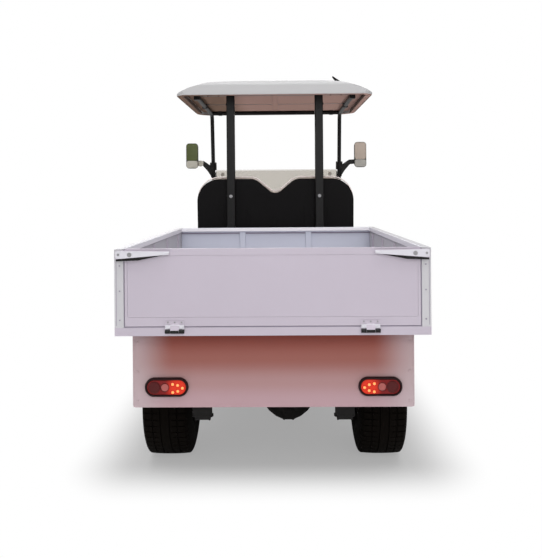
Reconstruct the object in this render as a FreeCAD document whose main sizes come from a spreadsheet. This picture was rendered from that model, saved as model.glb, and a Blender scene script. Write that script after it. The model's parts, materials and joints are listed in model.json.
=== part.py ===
import FreeCAD, Part
import math
import os

import Sketcher
from FreeCAD import Rotation, Vector

# Two-seat utility golf cart with a long cargo bed. Millimetres, +Z up, +Y to the front, the ground at
# z = 0 and the origin under the middle of the cart.

DRIVING_SIZES = {
    # whole cart
    "hardware_depth": 22,
    "footwell_length": 418,
    "cowl_length": 780,
    "front_overhang": 428,
    "front_track": 960,
    "rear_track": 982,
    "rear_axle_setback": 626,
    # cargo bed
    "bed_width": 1250,
    "bed_length": 1680,
    "bed_underside": 682,
    "bed_rail_height": 33,
    "bed_wall_height": 311,
    "bed_wall_thickness": 25,
    "bed_post_width": 36,
    "bed_top_rail": 30,
    "bed_sheet": 4,
    "deck_raise": 2,
    "deck_clearance": 2,
    "bed_rib_width": 35,
    "bed_rib_spacing": 418,
    # tailgate
    "gate_clearance": 5,
    "gate_thickness": 25,
    "gate_side_border": 10,
    "gate_top_band": 26,
    "gate_bottom_band": 35,
    "gate_recess": 4,
    "gate_axis_drop": 15,
    "gate_axis_setback": 8,
    "hinge_spacing": 772,
    "hinge_knuckle": 7,
    "hinge_pin": 3.5,
    "pin_clearance": 0.3,
    "hinge_leaf_width": 34,
    "hinge_leaf_height": 22,
    "hinge_plate_width": 76,
    "hinge_leaf_thickness": 3,
    "hinge_ear_width": 20,
    "hinge_ear_gap": 0.5,
    "latch_margin": 8,
    "latch_length": 214,
    "latch_height": 34,
    "latch_tip": 14,
    "latch_boss": 40,
    "latch_thickness": 9,
    # rear body
    "panel_setback": 80,
    "panel_width": 1143,
    "panel_bottom": 375,
    "panel_thickness": 6,
    "panel_lip": 14,
    "arch_clearance": 65,
    "lamp_spacing": 866,
    "lamp_height_above_ground": 459,
    "lamp_length": 177,
    "lamp_height": 77,
    "lamp_depth": 16,
    "lamp_lens_inset": 9,
    # wheels
    "tyre_diameter": 559,
    "tyre_width": 226,
    "tyre_shoulder": 24,
    "tyre_drop": 18,
    "tyre_side": 64,
    "rim_inset": 24,
    "rim_diameter": 254,
    "rim_disc_offset": 30,
    "rim_well": 14,
    "hub_radius": 48,
    "hub_length": 96,
    "spindle_radius": 15,
    "bearing_clearance": 0.8,
    "hub_cap_radius": 34,
    # frame
    "rail_spacing": 584,
    "rail_width": 50,
    "rail_depth": 110,
    "rail_rear_bottom": 470,
    "rail_low_bottom": 340,
    "rail_low_depth": 100,
    "kick_start": 450,
    "kick_length": 150,
    "kick_shift": 40,
    "cross_depth": 60,
    "stub_spacing": 320,
    "stub_depth": 70,
    "stub_setback": 240,
    "stub_end_setback": 80,
    "bearer_count": 5,
    "bearer_length": 1040,
    "bearer_width": 50,
    # rear suspension and drive
    "spring_width": 50,
    "spring_length": 1000,
    "leaf_thickness": 8,
    "leaf_count": 4,
    "front_leaf_count": 3,
    "front_spring_length": 640,
    "front_spring_width": 44,
    "front_beam_half": 28,
    "spring_eye_radius": 20,
    "shackle_thickness": 6,
    "hanger_margin": 9,
    "axle_tube_radius": 38,
    "diff_offset": 65,
    "diff_radius": 128,
    "diff_width": 250,
    "diff_flat": 22,
    "motor_radius": 92,
    "motor_length": 280,
    "motor_offset": 232,
    "motor_edge": 14,
    "battery_width": 860,
    "battery_length": 470,
    "battery_height": 260,
    # seat
    "seat_base_margin": 51,
    "seat_base_length": 590,
    "seat_base_gap": 8,
    "seat_base_wall": 6,
    "seat_base_top": 760,
    "seat_front_slope": 60,
    "cushion_width": 1010,
    "cushion_length": 520,
    "cushion_height": 105,
    "shell_width": 1018,
    "shell_taper": 11,
    "shell_bottom": 800,
    "shell_top": 1339,
    "shell_thickness": 22,
    "shell_corner": 142,
    "notch_width": 259,
    "notch_depth": 108,
    "notch_shoulder": 90,
    "notch_round": 55,
    "cushion_proud": 16,
    "backrest_thickness": 95,
    "armrest_tube": 14,
    "armrest_height": 985,
    "armrest_length": 330,
    "armrest_gap": 17,
    # canopy
    "rear_post_spacing": 568,
    "rear_post_width": 52,
    "rear_post_setback": 10,
    "roof_strap": 6,
    "front_post_spacing": 1000,
    "front_post_radius": 15,
    "post_foot_setback": 133,
    "post_foot_z": 600,
    "post_rake": 9.5,
    "roof_bend": 60,
    "roof_width": 1220,
    "roof_length": 1215,
    "roof_overhang": 168,
    "roof_lip": 1854,
    "roof_edge": 12,
    "roof_slope_in": 84,
    "roof_slope_up": 50,
    "roof_face": 85,
    "roof_crown": 106,
    "roof_ceiling": 30,
    "roof_rim": 36,
    "roof_front_lift": 12,
    "aerial_setback": 260,
    "aerial_tip_x": 378,
    "aerial_reach": 112,
    "aerial_rise": 50,
    # windshield
    "glass_thickness": 5,
    "glass_bottom": 990,
    "glass_top": 1426,
    "glass_corner": 15,
    "glass_overlap": 6,
    "clip_drop": 27,
    "folded_gap": 22,
    "folded_drop": 400,
    "clip_radius": 14,
    "clip_spacing": 854,
    # front body
    "body_width": 1180,
    "cowl_top_rear": 985,
    "cowl_belt": 660,
    "cowl_belt_in": 60,
    "cowl_belt_rise": 40,
    "cowl_shoulder_in": 95,
    "cowl_shoulder": 920,
    "cowl_crown_in": 240,
    "cowl_crown": 1010,
    "cowl_nose_high": 640,
    "cowl_nose_in": 15,
    "cowl_hood_in": 110,
    "cowl_hood": 730,
    "cowl_corner_in": 170,
    "cowl_wall": 6,
    "cowl_front_bottom": 432,
    "headlamp_spacing": 800,
    "headlamp_z": 640,
    "headlamp_width": 150,
    "headlamp_height": 76,
    "firewall_width": 1000,
    "firewall_top": 800,
    "floor_sheet": 6,
    "toe_setback": 5,
    "toe_rise": 200,
    "rocker_bottom": 330,
    "rocker_width": 60,
    "dash_depth": 90,
    # steering
    "kingpin_spacing": 660,
    "kingpin_radius": 10,
    "knuckle_radius": 22,
    "knuckle_height": 78,
    "steer_arm": 110,
    "tie_rod_radius": 9,
    "wheel_offset_x": 215,
    "wheel_centre_z": 1210,
    "wheel_reach": 160,
    "column_lean": 30,
    "steering_wheel_diameter": 370,
    "steering_rim_radius": 12,
    "column_radius": 22,
    "column_length": 760,
    "steering_box_setback": 115,
    "steering_box_length": 120,
    "steering_box_height": 80,
    # mirrors
    "brake_x": 290,
    "throttle_x": 140,
    "pedal_width": 70,
    "pedal_length": 120,
    "pedal_stalk": 23,
    "mirror_spacing": 1332,
    "mirror_width": 95,
    "mirror_height": 200,
    "mirror_depth": 42,
    "mirror_z": 1547,
    "mirror_clamp_gap": 8,
    "mirror_clamp_height": 60,
    "mirror_arm_drop": 58,
}


class Size:
    """A size worked out from the sheet: its number, and the formula that keeps a feature bound to it."""

    def __init__(self, value, formula):
        self.value = float(value)
        self.formula = formula

    def __add__(self, other):
        other = as_size(other)
        return Size(self.value + other.value, f"({self.formula} + {other.formula})")

    def __radd__(self, other):
        return as_size(other) + self

    def __sub__(self, other):
        other = as_size(other)
        return Size(self.value - other.value, f"({self.formula} - {other.formula})")

    def __rsub__(self, other):
        return as_size(other) - self

    def __mul__(self, other):
        other = as_size(other)
        return Size(self.value * other.value, f"{self.formula} * {other.formula}")

    def __rmul__(self, other):
        return as_size(other) * self

    def __truediv__(self, other):
        other = as_size(other)
        return Size(self.value / other.value, f"{self.formula} / ({other.formula})")

    def __neg__(self):
        return Size(-self.value, f"(-1 * {self.formula})")


def as_size(number):
    """A plain number as a Size, and a Size as it is."""
    if isinstance(number, Size):
        return number
    return Size(number, f"({float(number)})")


def sine(angle):
    return Size(math.sin(math.radians(angle.value)), f"sin({angle.formula})")


def cosine(angle):
    return Size(math.cos(math.radians(angle.value)), f"cos({angle.formula})")


def tangent(angle):
    return Size(math.tan(math.radians(angle.value)), f"tan({angle.formula})")


class SheetSizes:
    """The sheet's cells, by their names."""


doc = FreeCAD.newDocument("golf_cart")
sheet = doc.addObject("Spreadsheet::Sheet", "Sizes")
s = SheetSizes()
for row, (size_name, size_value) in enumerate(DRIVING_SIZES.items(), start=1):
    sheet.set(f"A{row}", size_name)
    sheet.set(f"B{row}", str(size_value))
    sheet.setAlias(f"B{row}", size_name)
doc.recompute()
for size_name in DRIVING_SIZES:
    setattr(s, size_name, Size(sheet.get(size_name), f"Sizes.{size_name}"))

NODES = []


def keep(node, name):
    """Names a finished sub-part and lists it for writing."""
    node.Label = name
    NODES.append(node)
    return node


def bind(thing, property_name, size):
    thing.setExpression(property_name, as_size(size).formula)


def place(thing, x, y, z):
    bind(thing, "Placement.Base.x", x)
    bind(thing, "Placement.Base.y", y)
    bind(thing, "Placement.Base.z", z)


def block(name, x, y, z):
    """A plain block between the low and high value of each axis."""
    box = doc.addObject("Part::Box", name)
    place(box, x[0], y[0], z[0])
    bind(box, "Length", as_size(x[1]) - x[0])
    bind(box, "Width", as_size(y[1]) - y[0])
    bind(box, "Height", as_size(z[1]) - z[0])
    return box


AXIS_TURNS = {
    "X": Rotation(Vector(0, 1, 0), 90),
    "Y": Rotation(Vector(1, 0, 0), -90),
    "Z": Rotation(),
}


def rod(name, axis, start, radius, length):
    """A round bar that leaves its start point along an axis."""
    bar = doc.addObject("Part::Cylinder", name)
    bar.Placement = FreeCAD.Placement(Vector(), AXIS_TURNS[axis])
    place(bar, *start)
    bind(bar, "Radius", radius)
    bind(bar, "Height", length)
    return bar


def fuse(name, pieces):
    joined = doc.addObject("Part::MultiFuse", name)
    joined.Shapes = pieces
    joined.Refine = True
    return joined


def cut(name, base, tool):
    result = doc.addObject("Part::Cut", name)
    result.Base = base
    result.Tool = tool
    return result


def common(name, pieces):
    result = doc.addObject("Part::MultiCommon", name)
    result.Shapes = pieces
    return result


def mirrored(name, piece):
    """The same piece on the other side of the cart's middle plane."""
    twin = doc.addObject("Part::Mirroring", name)
    twin.Source = piece
    twin.Normal = Vector(1, 0, 0)
    return twin


def together(name, pieces):
    group = doc.addObject("Part::Compound", name)
    group.Links = pieces
    return group


def pair(name, piece):
    return together(name, [piece, mirrored(name + "_twin", piece)])


def new_body(name, x=0, y=0, z=0, turn=None):
    body = doc.addObject("PartDesign::Body", name)
    if turn is not None:
        body.Placement = FreeCAD.Placement(Vector(), turn)
    place(body, x, y, z)
    return body


OCTAGON_HALF_SIDE = math.tan(math.radians(22.5))
OCTAGON_CORNER = 1 / math.cos(math.radians(22.5))
PLANE_ROLES = {"XY": "XY_Plane", "XZ": "XZ_Plane", "YZ": "YZ_Plane"}


def new_sketch(body, plane, low, high):
    """A sketch whose extrusion, along the plane's normal, runs between low and high."""
    sketch = body.newObject("Sketcher::SketchObject", body.Name + "_sketch")
    role = PLANE_ROLES[plane]
    support = next(item for item in body.Origin.OriginFeatures if item.Role == role)
    sketch.AttachmentSupport = (support, "")
    sketch.MapMode = "FlatFace"
    start = -as_size(high) if plane == "XZ" else as_size(low)
    bind(sketch, "AttachmentOffset.Base.z", start)
    return sketch


def constrain(sketch, kind, where, size):
    size = as_size(size)
    index = sketch.addConstraint(Sketcher.Constraint(kind, *where, size.value))
    sketch.setExpression(f"Constraints[{index}]", size.formula)


def outline(sketch, corners):
    """A closed outline through corners (x, y) or (x, y, radius), each tied to the sheet."""
    first = sketch.GeometryCount
    points = [(as_size(c[0]), as_size(c[1])) for c in corners]
    count = len(points)
    for index, (x, y) in enumerate(points):
        next_x, next_y = points[(index + 1) % count]
        line = Part.LineSegment(Vector(x.value, y.value, 0), Vector(next_x.value, next_y.value, 0))
        sketch.addGeometry(line, False)
    for index in range(count):
        following = first + (index + 1) % count
        sketch.addConstraint(Sketcher.Constraint("Coincident", first + index, 2, following, 1))
    for index, (x, y) in enumerate(points):
        constrain(sketch, "DistanceX", (-1, 1, first + index, 1), x)
        constrain(sketch, "DistanceY", (-1, 1, first + index, 1), y)
    for index, corner in enumerate(corners):
        if len(corner) < 3:
            continue
        radius = as_size(corner[2])
        known = sketch.GeometryCount
        sketch.fillet(first + index, 1, radius.value, True, True)
        for added in range(known, sketch.GeometryCount):
            if isinstance(sketch.Geometry[added], Part.ArcOfCircle):
                constrain(sketch, "Radius", (added,), radius)


def round_outline(sketch, x, y, radius):
    circle = sketch.GeometryCount
    x, y, radius = as_size(x), as_size(y), as_size(radius)
    sketch.addGeometry(Part.Circle(Vector(x.value, y.value, 0), Vector(0, 0, 1), radius.value), False)
    constrain(sketch, "DistanceX", (-1, 1, circle, 3), x)
    constrain(sketch, "DistanceY", (-1, 1, circle, 3), y)
    constrain(sketch, "Radius", (circle,), radius)


def pad(body, plane, low, high, corners=None, rounds=()):
    """Adds the outline, extruded from low to high along the plane's normal."""
    sketch = new_sketch(body, plane, low, high)
    if corners:
        outline(sketch, corners)
    for x, y, radius in rounds:
        round_outline(sketch, x, y, radius)
    feature = body.newObject("PartDesign::Pad", body.Name + "_pad")
    feature.Profile = sketch
    bind(feature, "Length", as_size(high) - low)
    sketch.Visibility = False
    body.Tip = feature
    return body


def pocket(body, plane, low, high, corners=None, rounds=()):
    """Cuts the outline away from low to high, and makes sure that it cut something."""
    doc.recompute()
    volume = body.Shape.Volume
    sketch = new_sketch(body, plane, low, high)
    if corners:
        outline(sketch, corners)
    for x, y, radius in rounds:
        round_outline(sketch, x, y, radius)
    feature = body.newObject("PartDesign::Pocket", body.Name + "_pocket")
    feature.Profile = sketch
    feature.Reversed = True
    bind(feature, "Length", as_size(high) - low)
    body.Tip = feature
    doc.recompute()
    if body.Shape.Volume >= volume:
        raise ValueError(f"{body.Name}: a pocket cut nothing")
    return body


def revolve(body, corners):
    """Turns an outline (distance along X, radius) about the body's X axis."""
    sketch = new_sketch(body, "XY", 0, 0)
    outline(sketch, corners)
    feature = body.newObject("PartDesign::Revolution", body.Name + "_turning")
    feature.Profile = sketch
    feature.ReferenceAxis = (sketch, ["H_Axis"])
    feature.Angle = 360
    body.Tip = feature
    return body


def octagon(x, y, radius):
    """The corners of an eight-sided section as wide across its flats as a round one."""
    far = as_size(radius)
    near = far * OCTAGON_HALF_SIDE
    return [(x + far, y - near), (x + far, y + near), (x + near, y + far), (x - near, y + far),
            (x - far, y + near), (x - far, y - near), (x - near, y - far), (x + near, y - far)]


def bent_tube(name, x, path_corners, radius):
    """A tube whose centre line bends in the plane at x, through corners (y, z) or (y, z, radius)."""
    body = new_body(name)
    path = new_sketch(body, "YZ", x, x)
    points = [(as_size(c[0]), as_size(c[1])) for c in path_corners]
    for (y, z), (next_y, next_z) in zip(points, points[1:]):
        line = Part.LineSegment(Vector(y.value, z.value, 0), Vector(next_y.value, next_z.value, 0))
        path.addGeometry(line, False)
    runs = len(points) - 1
    for index in range(runs - 1):
        path.addConstraint(Sketcher.Constraint("Coincident", index, 2, index + 1, 1))
    for index, (y, z) in enumerate(points):
        where = (-1, 1, min(index, runs - 1), 1 if index < runs else 2)
        constrain(path, "DistanceX", where, y)
        constrain(path, "DistanceY", where, z)
    for index, corner in enumerate(path_corners):
        if len(corner) < 3:
            continue
        bend = as_size(corner[2])
        known = path.GeometryCount
        path.fillet(index, 1, bend.value, True, True)
        for added in range(known, path.GeometryCount):
            if isinstance(path.Geometry[added], Part.ArcOfCircle):
                constrain(path, "Radius", (added,), bend)
    doc.recompute()
    profile = body.newObject("Sketcher::SketchObject", name + "_section")
    profile.AttachmentSupport = [(path, "Edge1"), (path, "Vertex1")]
    profile.MapMode = "NormalToEdge"
    outline(profile, octagon(as_size(0), as_size(0), radius))
    feature = body.newObject("PartDesign::AdditivePipe", name + "_pipe")
    feature.Profile = profile
    feature.Spine = (path, [])
    body.Tip = feature
    return body


# Places worked out from the driving sizes.
overall_length = (s.hardware_depth + s.bed_length + s.rear_post_setback + s.rear_post_width
                  + s.seat_base_gap + s.seat_base_length + s.footwell_length + s.cowl_length)
gate_face_y = -overall_length / 2 + s.hardware_depth
bed_front_y = gate_face_y + s.bed_length
rear_axle_y = gate_face_y + s.rear_axle_setback
nose_y = overall_length / 2
front_axle_y = nose_y - s.front_overhang
axle_z = s.tyre_diameter / 2
deck_z = s.bed_underside + s.bed_rail_height
bed_top_z = deck_z + s.bed_wall_height
bed_side_x = s.bed_width / 2
gate_half_width = bed_side_x - s.bed_post_width - s.gate_clearance
gate_bottom_z = deck_z + s.gate_clearance
gate_axis_y = gate_face_y - s.gate_axis_setback
gate_axis_z = deck_z - s.gate_axis_drop
panel_y = gate_face_y + s.panel_setback
panel_side_x = s.panel_width / 2
front_wheel_x = s.front_track / 2
rear_wheel_x = s.rear_track / 2
rail_low_top = s.rail_low_bottom + s.rail_low_depth
rail_inner_x = s.rail_spacing / 2 - s.rail_width / 2
rail_outer_x = s.rail_spacing / 2 + s.rail_width / 2
rail_rear_y = panel_y + s.panel_thickness + s.panel_lip
rail_rear_top = s.rail_rear_bottom + s.rail_depth
stub_bottom_z = rail_low_top - s.stub_depth
rear_post_y = bed_front_y + s.rear_post_setback
rear_post_face_y = rear_post_y + s.rear_post_width
shell_y = rear_post_face_y + 6
seat_base_y = rear_post_face_y + s.seat_base_gap
seat_base_front_y = seat_base_y + s.seat_base_length
roof_rear_y = rear_post_y - s.roof_overhang
roof_front_y = roof_rear_y + s.roof_length
roof_ceiling_z = s.roof_lip + s.roof_ceiling
roof_rail_z = roof_ceiling_z - s.front_post_radius
kick_end_y = bed_front_y - s.kick_start + s.kick_length
kick_start_y = bed_front_y - s.kick_start
arch_radius = axle_z + s.arch_clearance
kingpin_x = s.kingpin_spacing / 2
cowl_shell_y = nose_y - s.cowl_length
toe_y = cowl_shell_y - s.toe_setback
stub_y = cowl_shell_y - s.stub_setback
post_foot_y = cowl_shell_y + s.post_foot_setback
wheel_centre_y = seat_base_front_y + s.wheel_reach
seat_base_width = s.shell_width + s.seat_base_margin * 2
seat_base_half = seat_base_width / 2


def post_y(z):
    """Where the raked front posts' centre line is, at a height."""
    return post_foot_y - (as_size(z) - s.post_foot_z) * tangent(s.post_rake)


def frame_rails():
    """The side rails, kicked down in front of the bed, and the narrower frame ahead of the footwell."""
    rail = new_body("main_rail")
    pad(rail, "YZ", rail_inner_x, rail_outer_x, [
        (rail_rear_y, s.rail_rear_bottom), (kick_start_y, s.rail_rear_bottom),
        (kick_end_y, s.rail_low_bottom), (stub_y, s.rail_low_bottom),
        (stub_y, rail_low_top), (kick_end_y + s.kick_shift, rail_low_top),
        (kick_start_y + s.kick_shift, rail_rear_top), (rail_rear_y, rail_rear_top)])
    pieces = [rail, mirrored("main_rail_twin", rail)]
    stub_inner = s.stub_spacing / 2 - s.rail_width / 2
    stub_outer = s.stub_spacing / 2 + s.rail_width / 2
    nose_cross_y = nose_y - s.stub_end_setback - s.rail_width
    stub = block("stub_rail", (stub_inner, stub_outer), (stub_y + s.cross_depth, nose_cross_y),
                 (stub_bottom_z, rail_low_top))
    pieces += [stub, mirrored("stub_rail_twin", stub)]
    pieces.append(block("stub_cross", (-rail_outer_x, rail_outer_x), (stub_y, stub_y + s.cross_depth),
                        (s.rail_low_bottom, rail_low_top)))
    pieces.append(block("nose_cross", (-stub_outer, stub_outer),
                        (nose_cross_y, nose_cross_y + s.rail_width), (stub_bottom_z, rail_low_top)))
    keep(together("frame_rails", pieces), "frame_rails")


def cross_members():
    """The bearers under the bed, the risers of the foremost one and the cross tube under the seat."""
    pieces = []
    last = bed_front_y - s.bearer_width - 20
    spaces = s.bearer_count.value - 1
    for index in range(int(s.bearer_count.value)):
        y = rail_rear_y + (last - rail_rear_y) * (index / spaces)
        pieces.append(block(f"bearer_{index}", (-s.bearer_length / 2, s.bearer_length / 2),
                            (y, y + s.bearer_width), (rail_rear_top, s.bed_underside)))
    riser = block("riser", (rail_inner_x, rail_outer_x), (last, last + s.bearer_width),
                  (rail_low_top, rail_rear_top))
    pieces += [riser, mirrored("riser_twin", riser)]
    pieces.append(block("seat_cross", (-rail_inner_x, rail_inner_x), (rear_post_y, rear_post_face_y),
                        (s.rail_low_bottom, rail_low_top)))
    keep(together("cross_members", pieces), "cross_members")


def bed_floor():
    """A tray: rim rails with a deck sheet between them, and the fixed halves of the tailgate hinges."""
    tray = new_body("bed_tray")
    half = bed_side_x
    pad(tray, "XY", s.bed_underside, deck_z, [
        (-half, gate_face_y), (half, gate_face_y), (half, bed_front_y), (-half, bed_front_y)])
    rim = s.bed_post_width
    under = deck_z - s.bed_sheet
    bays = 4
    bay_length = (s.bed_length - rim * (bays + 1)) / bays
    for index in range(bays):
        y = gate_face_y + rim + (bay_length + rim) * index
        pocket(tray, "XY", s.bed_underside - 1, under, [
            (-half + rim, y), (half - rim, y), (half - rim, y + bay_length), (-half + rim, y + bay_length)])
    clear = s.deck_clearance
    sheet_x = half - s.bed_wall_thickness - clear
    sheet = block("deck_sheet", (-sheet_x, sheet_x),
                  (gate_face_y + rim + clear, bed_front_y - s.bed_wall_thickness - clear),
                  (under, deck_z + s.deck_raise))
    pieces = [tray, sheet]
    for side, sign in (("left", -1), ("right", 1)):
        centre = s.hinge_spacing / 2 * sign
        inner = s.hinge_leaf_width / 2 + s.hinge_ear_gap
        for end, direction in (("a", -1), ("b", 1)):
            low = centre - inner - s.hinge_ear_width if direction < 0 else centre + inner
            ear = rod(f"hinge_ear_{side}_{end}", "X", (low, gate_axis_y, gate_axis_z),
                      s.hinge_knuckle, s.hinge_ear_width)
            web = block(f"hinge_web_{side}_{end}", (low, low + s.hinge_ear_width),
                        (gate_axis_y, gate_face_y + 1),
                        (gate_axis_z - s.hinge_knuckle, gate_axis_z + s.hinge_knuckle - 2))
            pieces += [ear, web]
        span = s.hinge_leaf_width + s.hinge_ear_width
        pieces.append(rod(f"hinge_pin_{side}", "X", (centre - span / 2, gate_axis_y, gate_axis_z),
                          s.hinge_pin, span))
    keep(fuse("bed_floor", pieces), "bed_floor")


def bed_sides():
    """Each side: two corner posts, a thinner panel between them and a wide rail along its top."""
    inner = bed_side_x - s.bed_wall_thickness
    wall = new_body("side_wall")
    pad(wall, "YZ", inner, bed_side_x, [
        (gate_face_y, deck_z), (bed_front_y, deck_z), (bed_front_y, bed_top_z), (gate_face_y, bed_top_z)])
    rail_low = bed_top_z - s.bed_top_rail
    margin = s.bed_post_width
    pocket(wall, "YZ", bed_side_x - s.gate_recess, bed_side_x + 1, [
        (gate_face_y + margin, deck_z + margin, 6), (bed_front_y - margin, deck_z + margin, 6),
        (bed_front_y - margin, rail_low, 6), (gate_face_y + margin, rail_low, 6)])
    post = block("side_post", (bed_side_x - s.bed_post_width, bed_side_x),
                 (gate_face_y, gate_face_y + s.bed_post_width), (deck_z, bed_top_z))
    keep(pair("bed_sides", fuse("bed_side", [wall, post])), "bed_sides")


def bed_headboard():
    """The front wall, with a rail along its top and two upright ribs."""
    half = bed_side_x - s.bed_wall_thickness
    panel = block("head_panel", (-half, half), (bed_front_y - 12, bed_front_y), (deck_z, bed_top_z))
    rail = block("head_rail", (-half, half), (bed_front_y - s.bed_wall_thickness, bed_front_y),
                 (bed_top_z - s.bed_top_rail, bed_top_z))
    pieces = [panel, rail]
    for side, sign in (("left", -1), ("right", 1)):
        x = s.bed_rib_spacing / 2 * sign
        pieces.append(block(f"head_rib_{side}", (x - s.bed_rib_width / 2, x + s.bed_rib_width / 2),
                            (bed_front_y - s.bed_wall_thickness, bed_front_y), (deck_z, bed_top_z)))
    keep(fuse("bed_headboard", pieces), "bed_headboard")


def tailgate():
    """The drop gate: a bordered panel, two lever latches and the moving hinge leaves."""
    face = gate_face_y
    panel = new_body("gate_panel")
    pad(panel, "XZ", face, face + s.gate_thickness, [
        (-gate_half_width, gate_bottom_z), (gate_half_width, gate_bottom_z),
        (gate_half_width, bed_top_z), (-gate_half_width, bed_top_z)])
    side = gate_half_width - s.gate_side_border
    low = gate_bottom_z + s.gate_bottom_band
    top = bed_top_z - s.gate_top_band
    pocket(panel, "XZ", face - 1, face + s.gate_recess, [
        (-side, low, 6), (side, low, 6), (side, top, 6), (-side, top, 6)])
    pieces = [panel]
    latch_top = bed_top_z - 4
    latch_outer = bed_side_x - s.latch_margin
    latch = new_body("gate_latch")
    pad(latch, "XZ", face - s.hardware_depth, face - s.hardware_depth + s.latch_thickness, [
        (latch_outer, latch_top, 4), (latch_outer, latch_top - s.latch_height, 4),
        (latch_outer - s.latch_length, latch_top - 3 - s.latch_tip, 4),
        (latch_outer - s.latch_length, latch_top - 3, 4)])
    boss = block("latch_boss", (gate_half_width - s.latch_boss - 4, gate_half_width - 4),
                 (face - s.hardware_depth + s.latch_thickness - 1, face + 1),
                 (latch_top - s.latch_height + 5, latch_top - 5))
    pieces += [latch, boss, mirrored("gate_latch_twin", latch), mirrored("latch_boss_twin", boss)]
    for hand, sign in (("left", -1), ("right", 1)):
        centre = s.hinge_spacing / 2 * sign
        half = s.hinge_leaf_width / 2
        plate_half = s.hinge_plate_width / 2
        leaf = block(f"leaf_{hand}", (centre - plate_half, centre + plate_half),
                     (face - s.hinge_leaf_thickness, face + 1),
                     (gate_bottom_z + 2, gate_bottom_z + s.hinge_leaf_height))
        neck = new_body(f"leaf_neck_{hand}")
        pad(neck, "YZ", centre - half, centre + half, [
            (gate_axis_y - s.hinge_knuckle, gate_axis_z), (gate_axis_y, gate_axis_z),
            (face - s.hinge_leaf_thickness + 2, gate_bottom_z + 3),
            (face - s.hinge_leaf_thickness + 2, gate_bottom_z + 12),
            (face - s.hinge_leaf_thickness, gate_bottom_z + 12)])
        knuckle = rod(f"leaf_knuckle_{hand}", "X", (centre - half, gate_axis_y, gate_axis_z),
                      s.hinge_knuckle, s.hinge_leaf_width)
        pieces += [leaf, neck, knuckle]
    solid = fuse("gate_solid", pieces)
    bores = []
    for hand, sign in (("left", -1), ("right", 1)):
        centre = s.hinge_spacing / 2 * sign
        half = s.hinge_leaf_width / 2 + 1
        bores.append(rod(f"gate_bore_{hand}", "X", (centre - half, gate_axis_y, gate_axis_z),
                         s.hinge_pin + s.pin_clearance, half * 2))
    keep(cut("tailgate", solid, together("gate_bores", bores)), "tailgate")


def rear_panel():
    """The panel under the bed's rear edge, with its lower edge turned in."""
    panel = new_body("rear_panel")
    pad(panel, "XZ", panel_y, panel_y + s.panel_thickness, [
        (-panel_side_x, s.panel_bottom, 12), (panel_side_x, s.panel_bottom, 12),
        (panel_side_x, s.bed_underside), (-panel_side_x, s.bed_underside)])
    pad(panel, "XZ", panel_y + s.panel_thickness, panel_y + s.panel_thickness + s.panel_lip, [
        (-panel_side_x + 20, s.panel_bottom), (panel_side_x - 20, s.panel_bottom),
        (panel_side_x - 20, s.panel_bottom + 6), (-panel_side_x + 20, s.panel_bottom + 6)])
    keep(panel, "rear_panel")


def rear_skirts():
    """The side covers under the bed, each with its wheel arch."""
    skirt = new_body("rear_skirt")
    inner = panel_side_x - s.panel_thickness
    start = panel_y + s.panel_thickness
    end = seat_base_y
    low = s.panel_bottom
    pad(skirt, "YZ", inner, panel_side_x, [
        (start, low), (end, low, 10), (end, s.bed_underside), (start, s.bed_underside)])
    pocket(skirt, "YZ", inner - 1, panel_side_x + 1, rounds=[(rear_axle_y, axle_z, arch_radius)])
    keep(pair("rear_skirts", skirt), "rear_skirts")


def tail_lamps():
    """Each lamp: a raised oval bezel with a lens set into it."""
    lamp = new_body("tail_lamp", s.lamp_spacing / 2, panel_y, s.lamp_height_above_ground)
    half_length = s.lamp_length / 2
    half_height = s.lamp_height / 2
    corner = half_height - 1
    pad(lamp, "XZ", -s.lamp_depth, 0, [
        (-half_length, -half_height, corner), (half_length, -half_height, corner),
        (half_length, half_height, corner), (-half_length, half_height, corner)])
    inset = s.lamp_lens_inset
    inner = corner - inset
    pocket(lamp, "XZ", -s.lamp_depth - 1, -s.lamp_depth + 5, [
        (-half_length + inset, -half_height + inset, inner),
        (half_length - inset, -half_height + inset, inner),
        (half_length - inset, half_height - inset, inner),
        (-half_length + inset, half_height - inset, inner)])
    keep(pair("tail_lamps", lamp), "tail_lamps")


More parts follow.
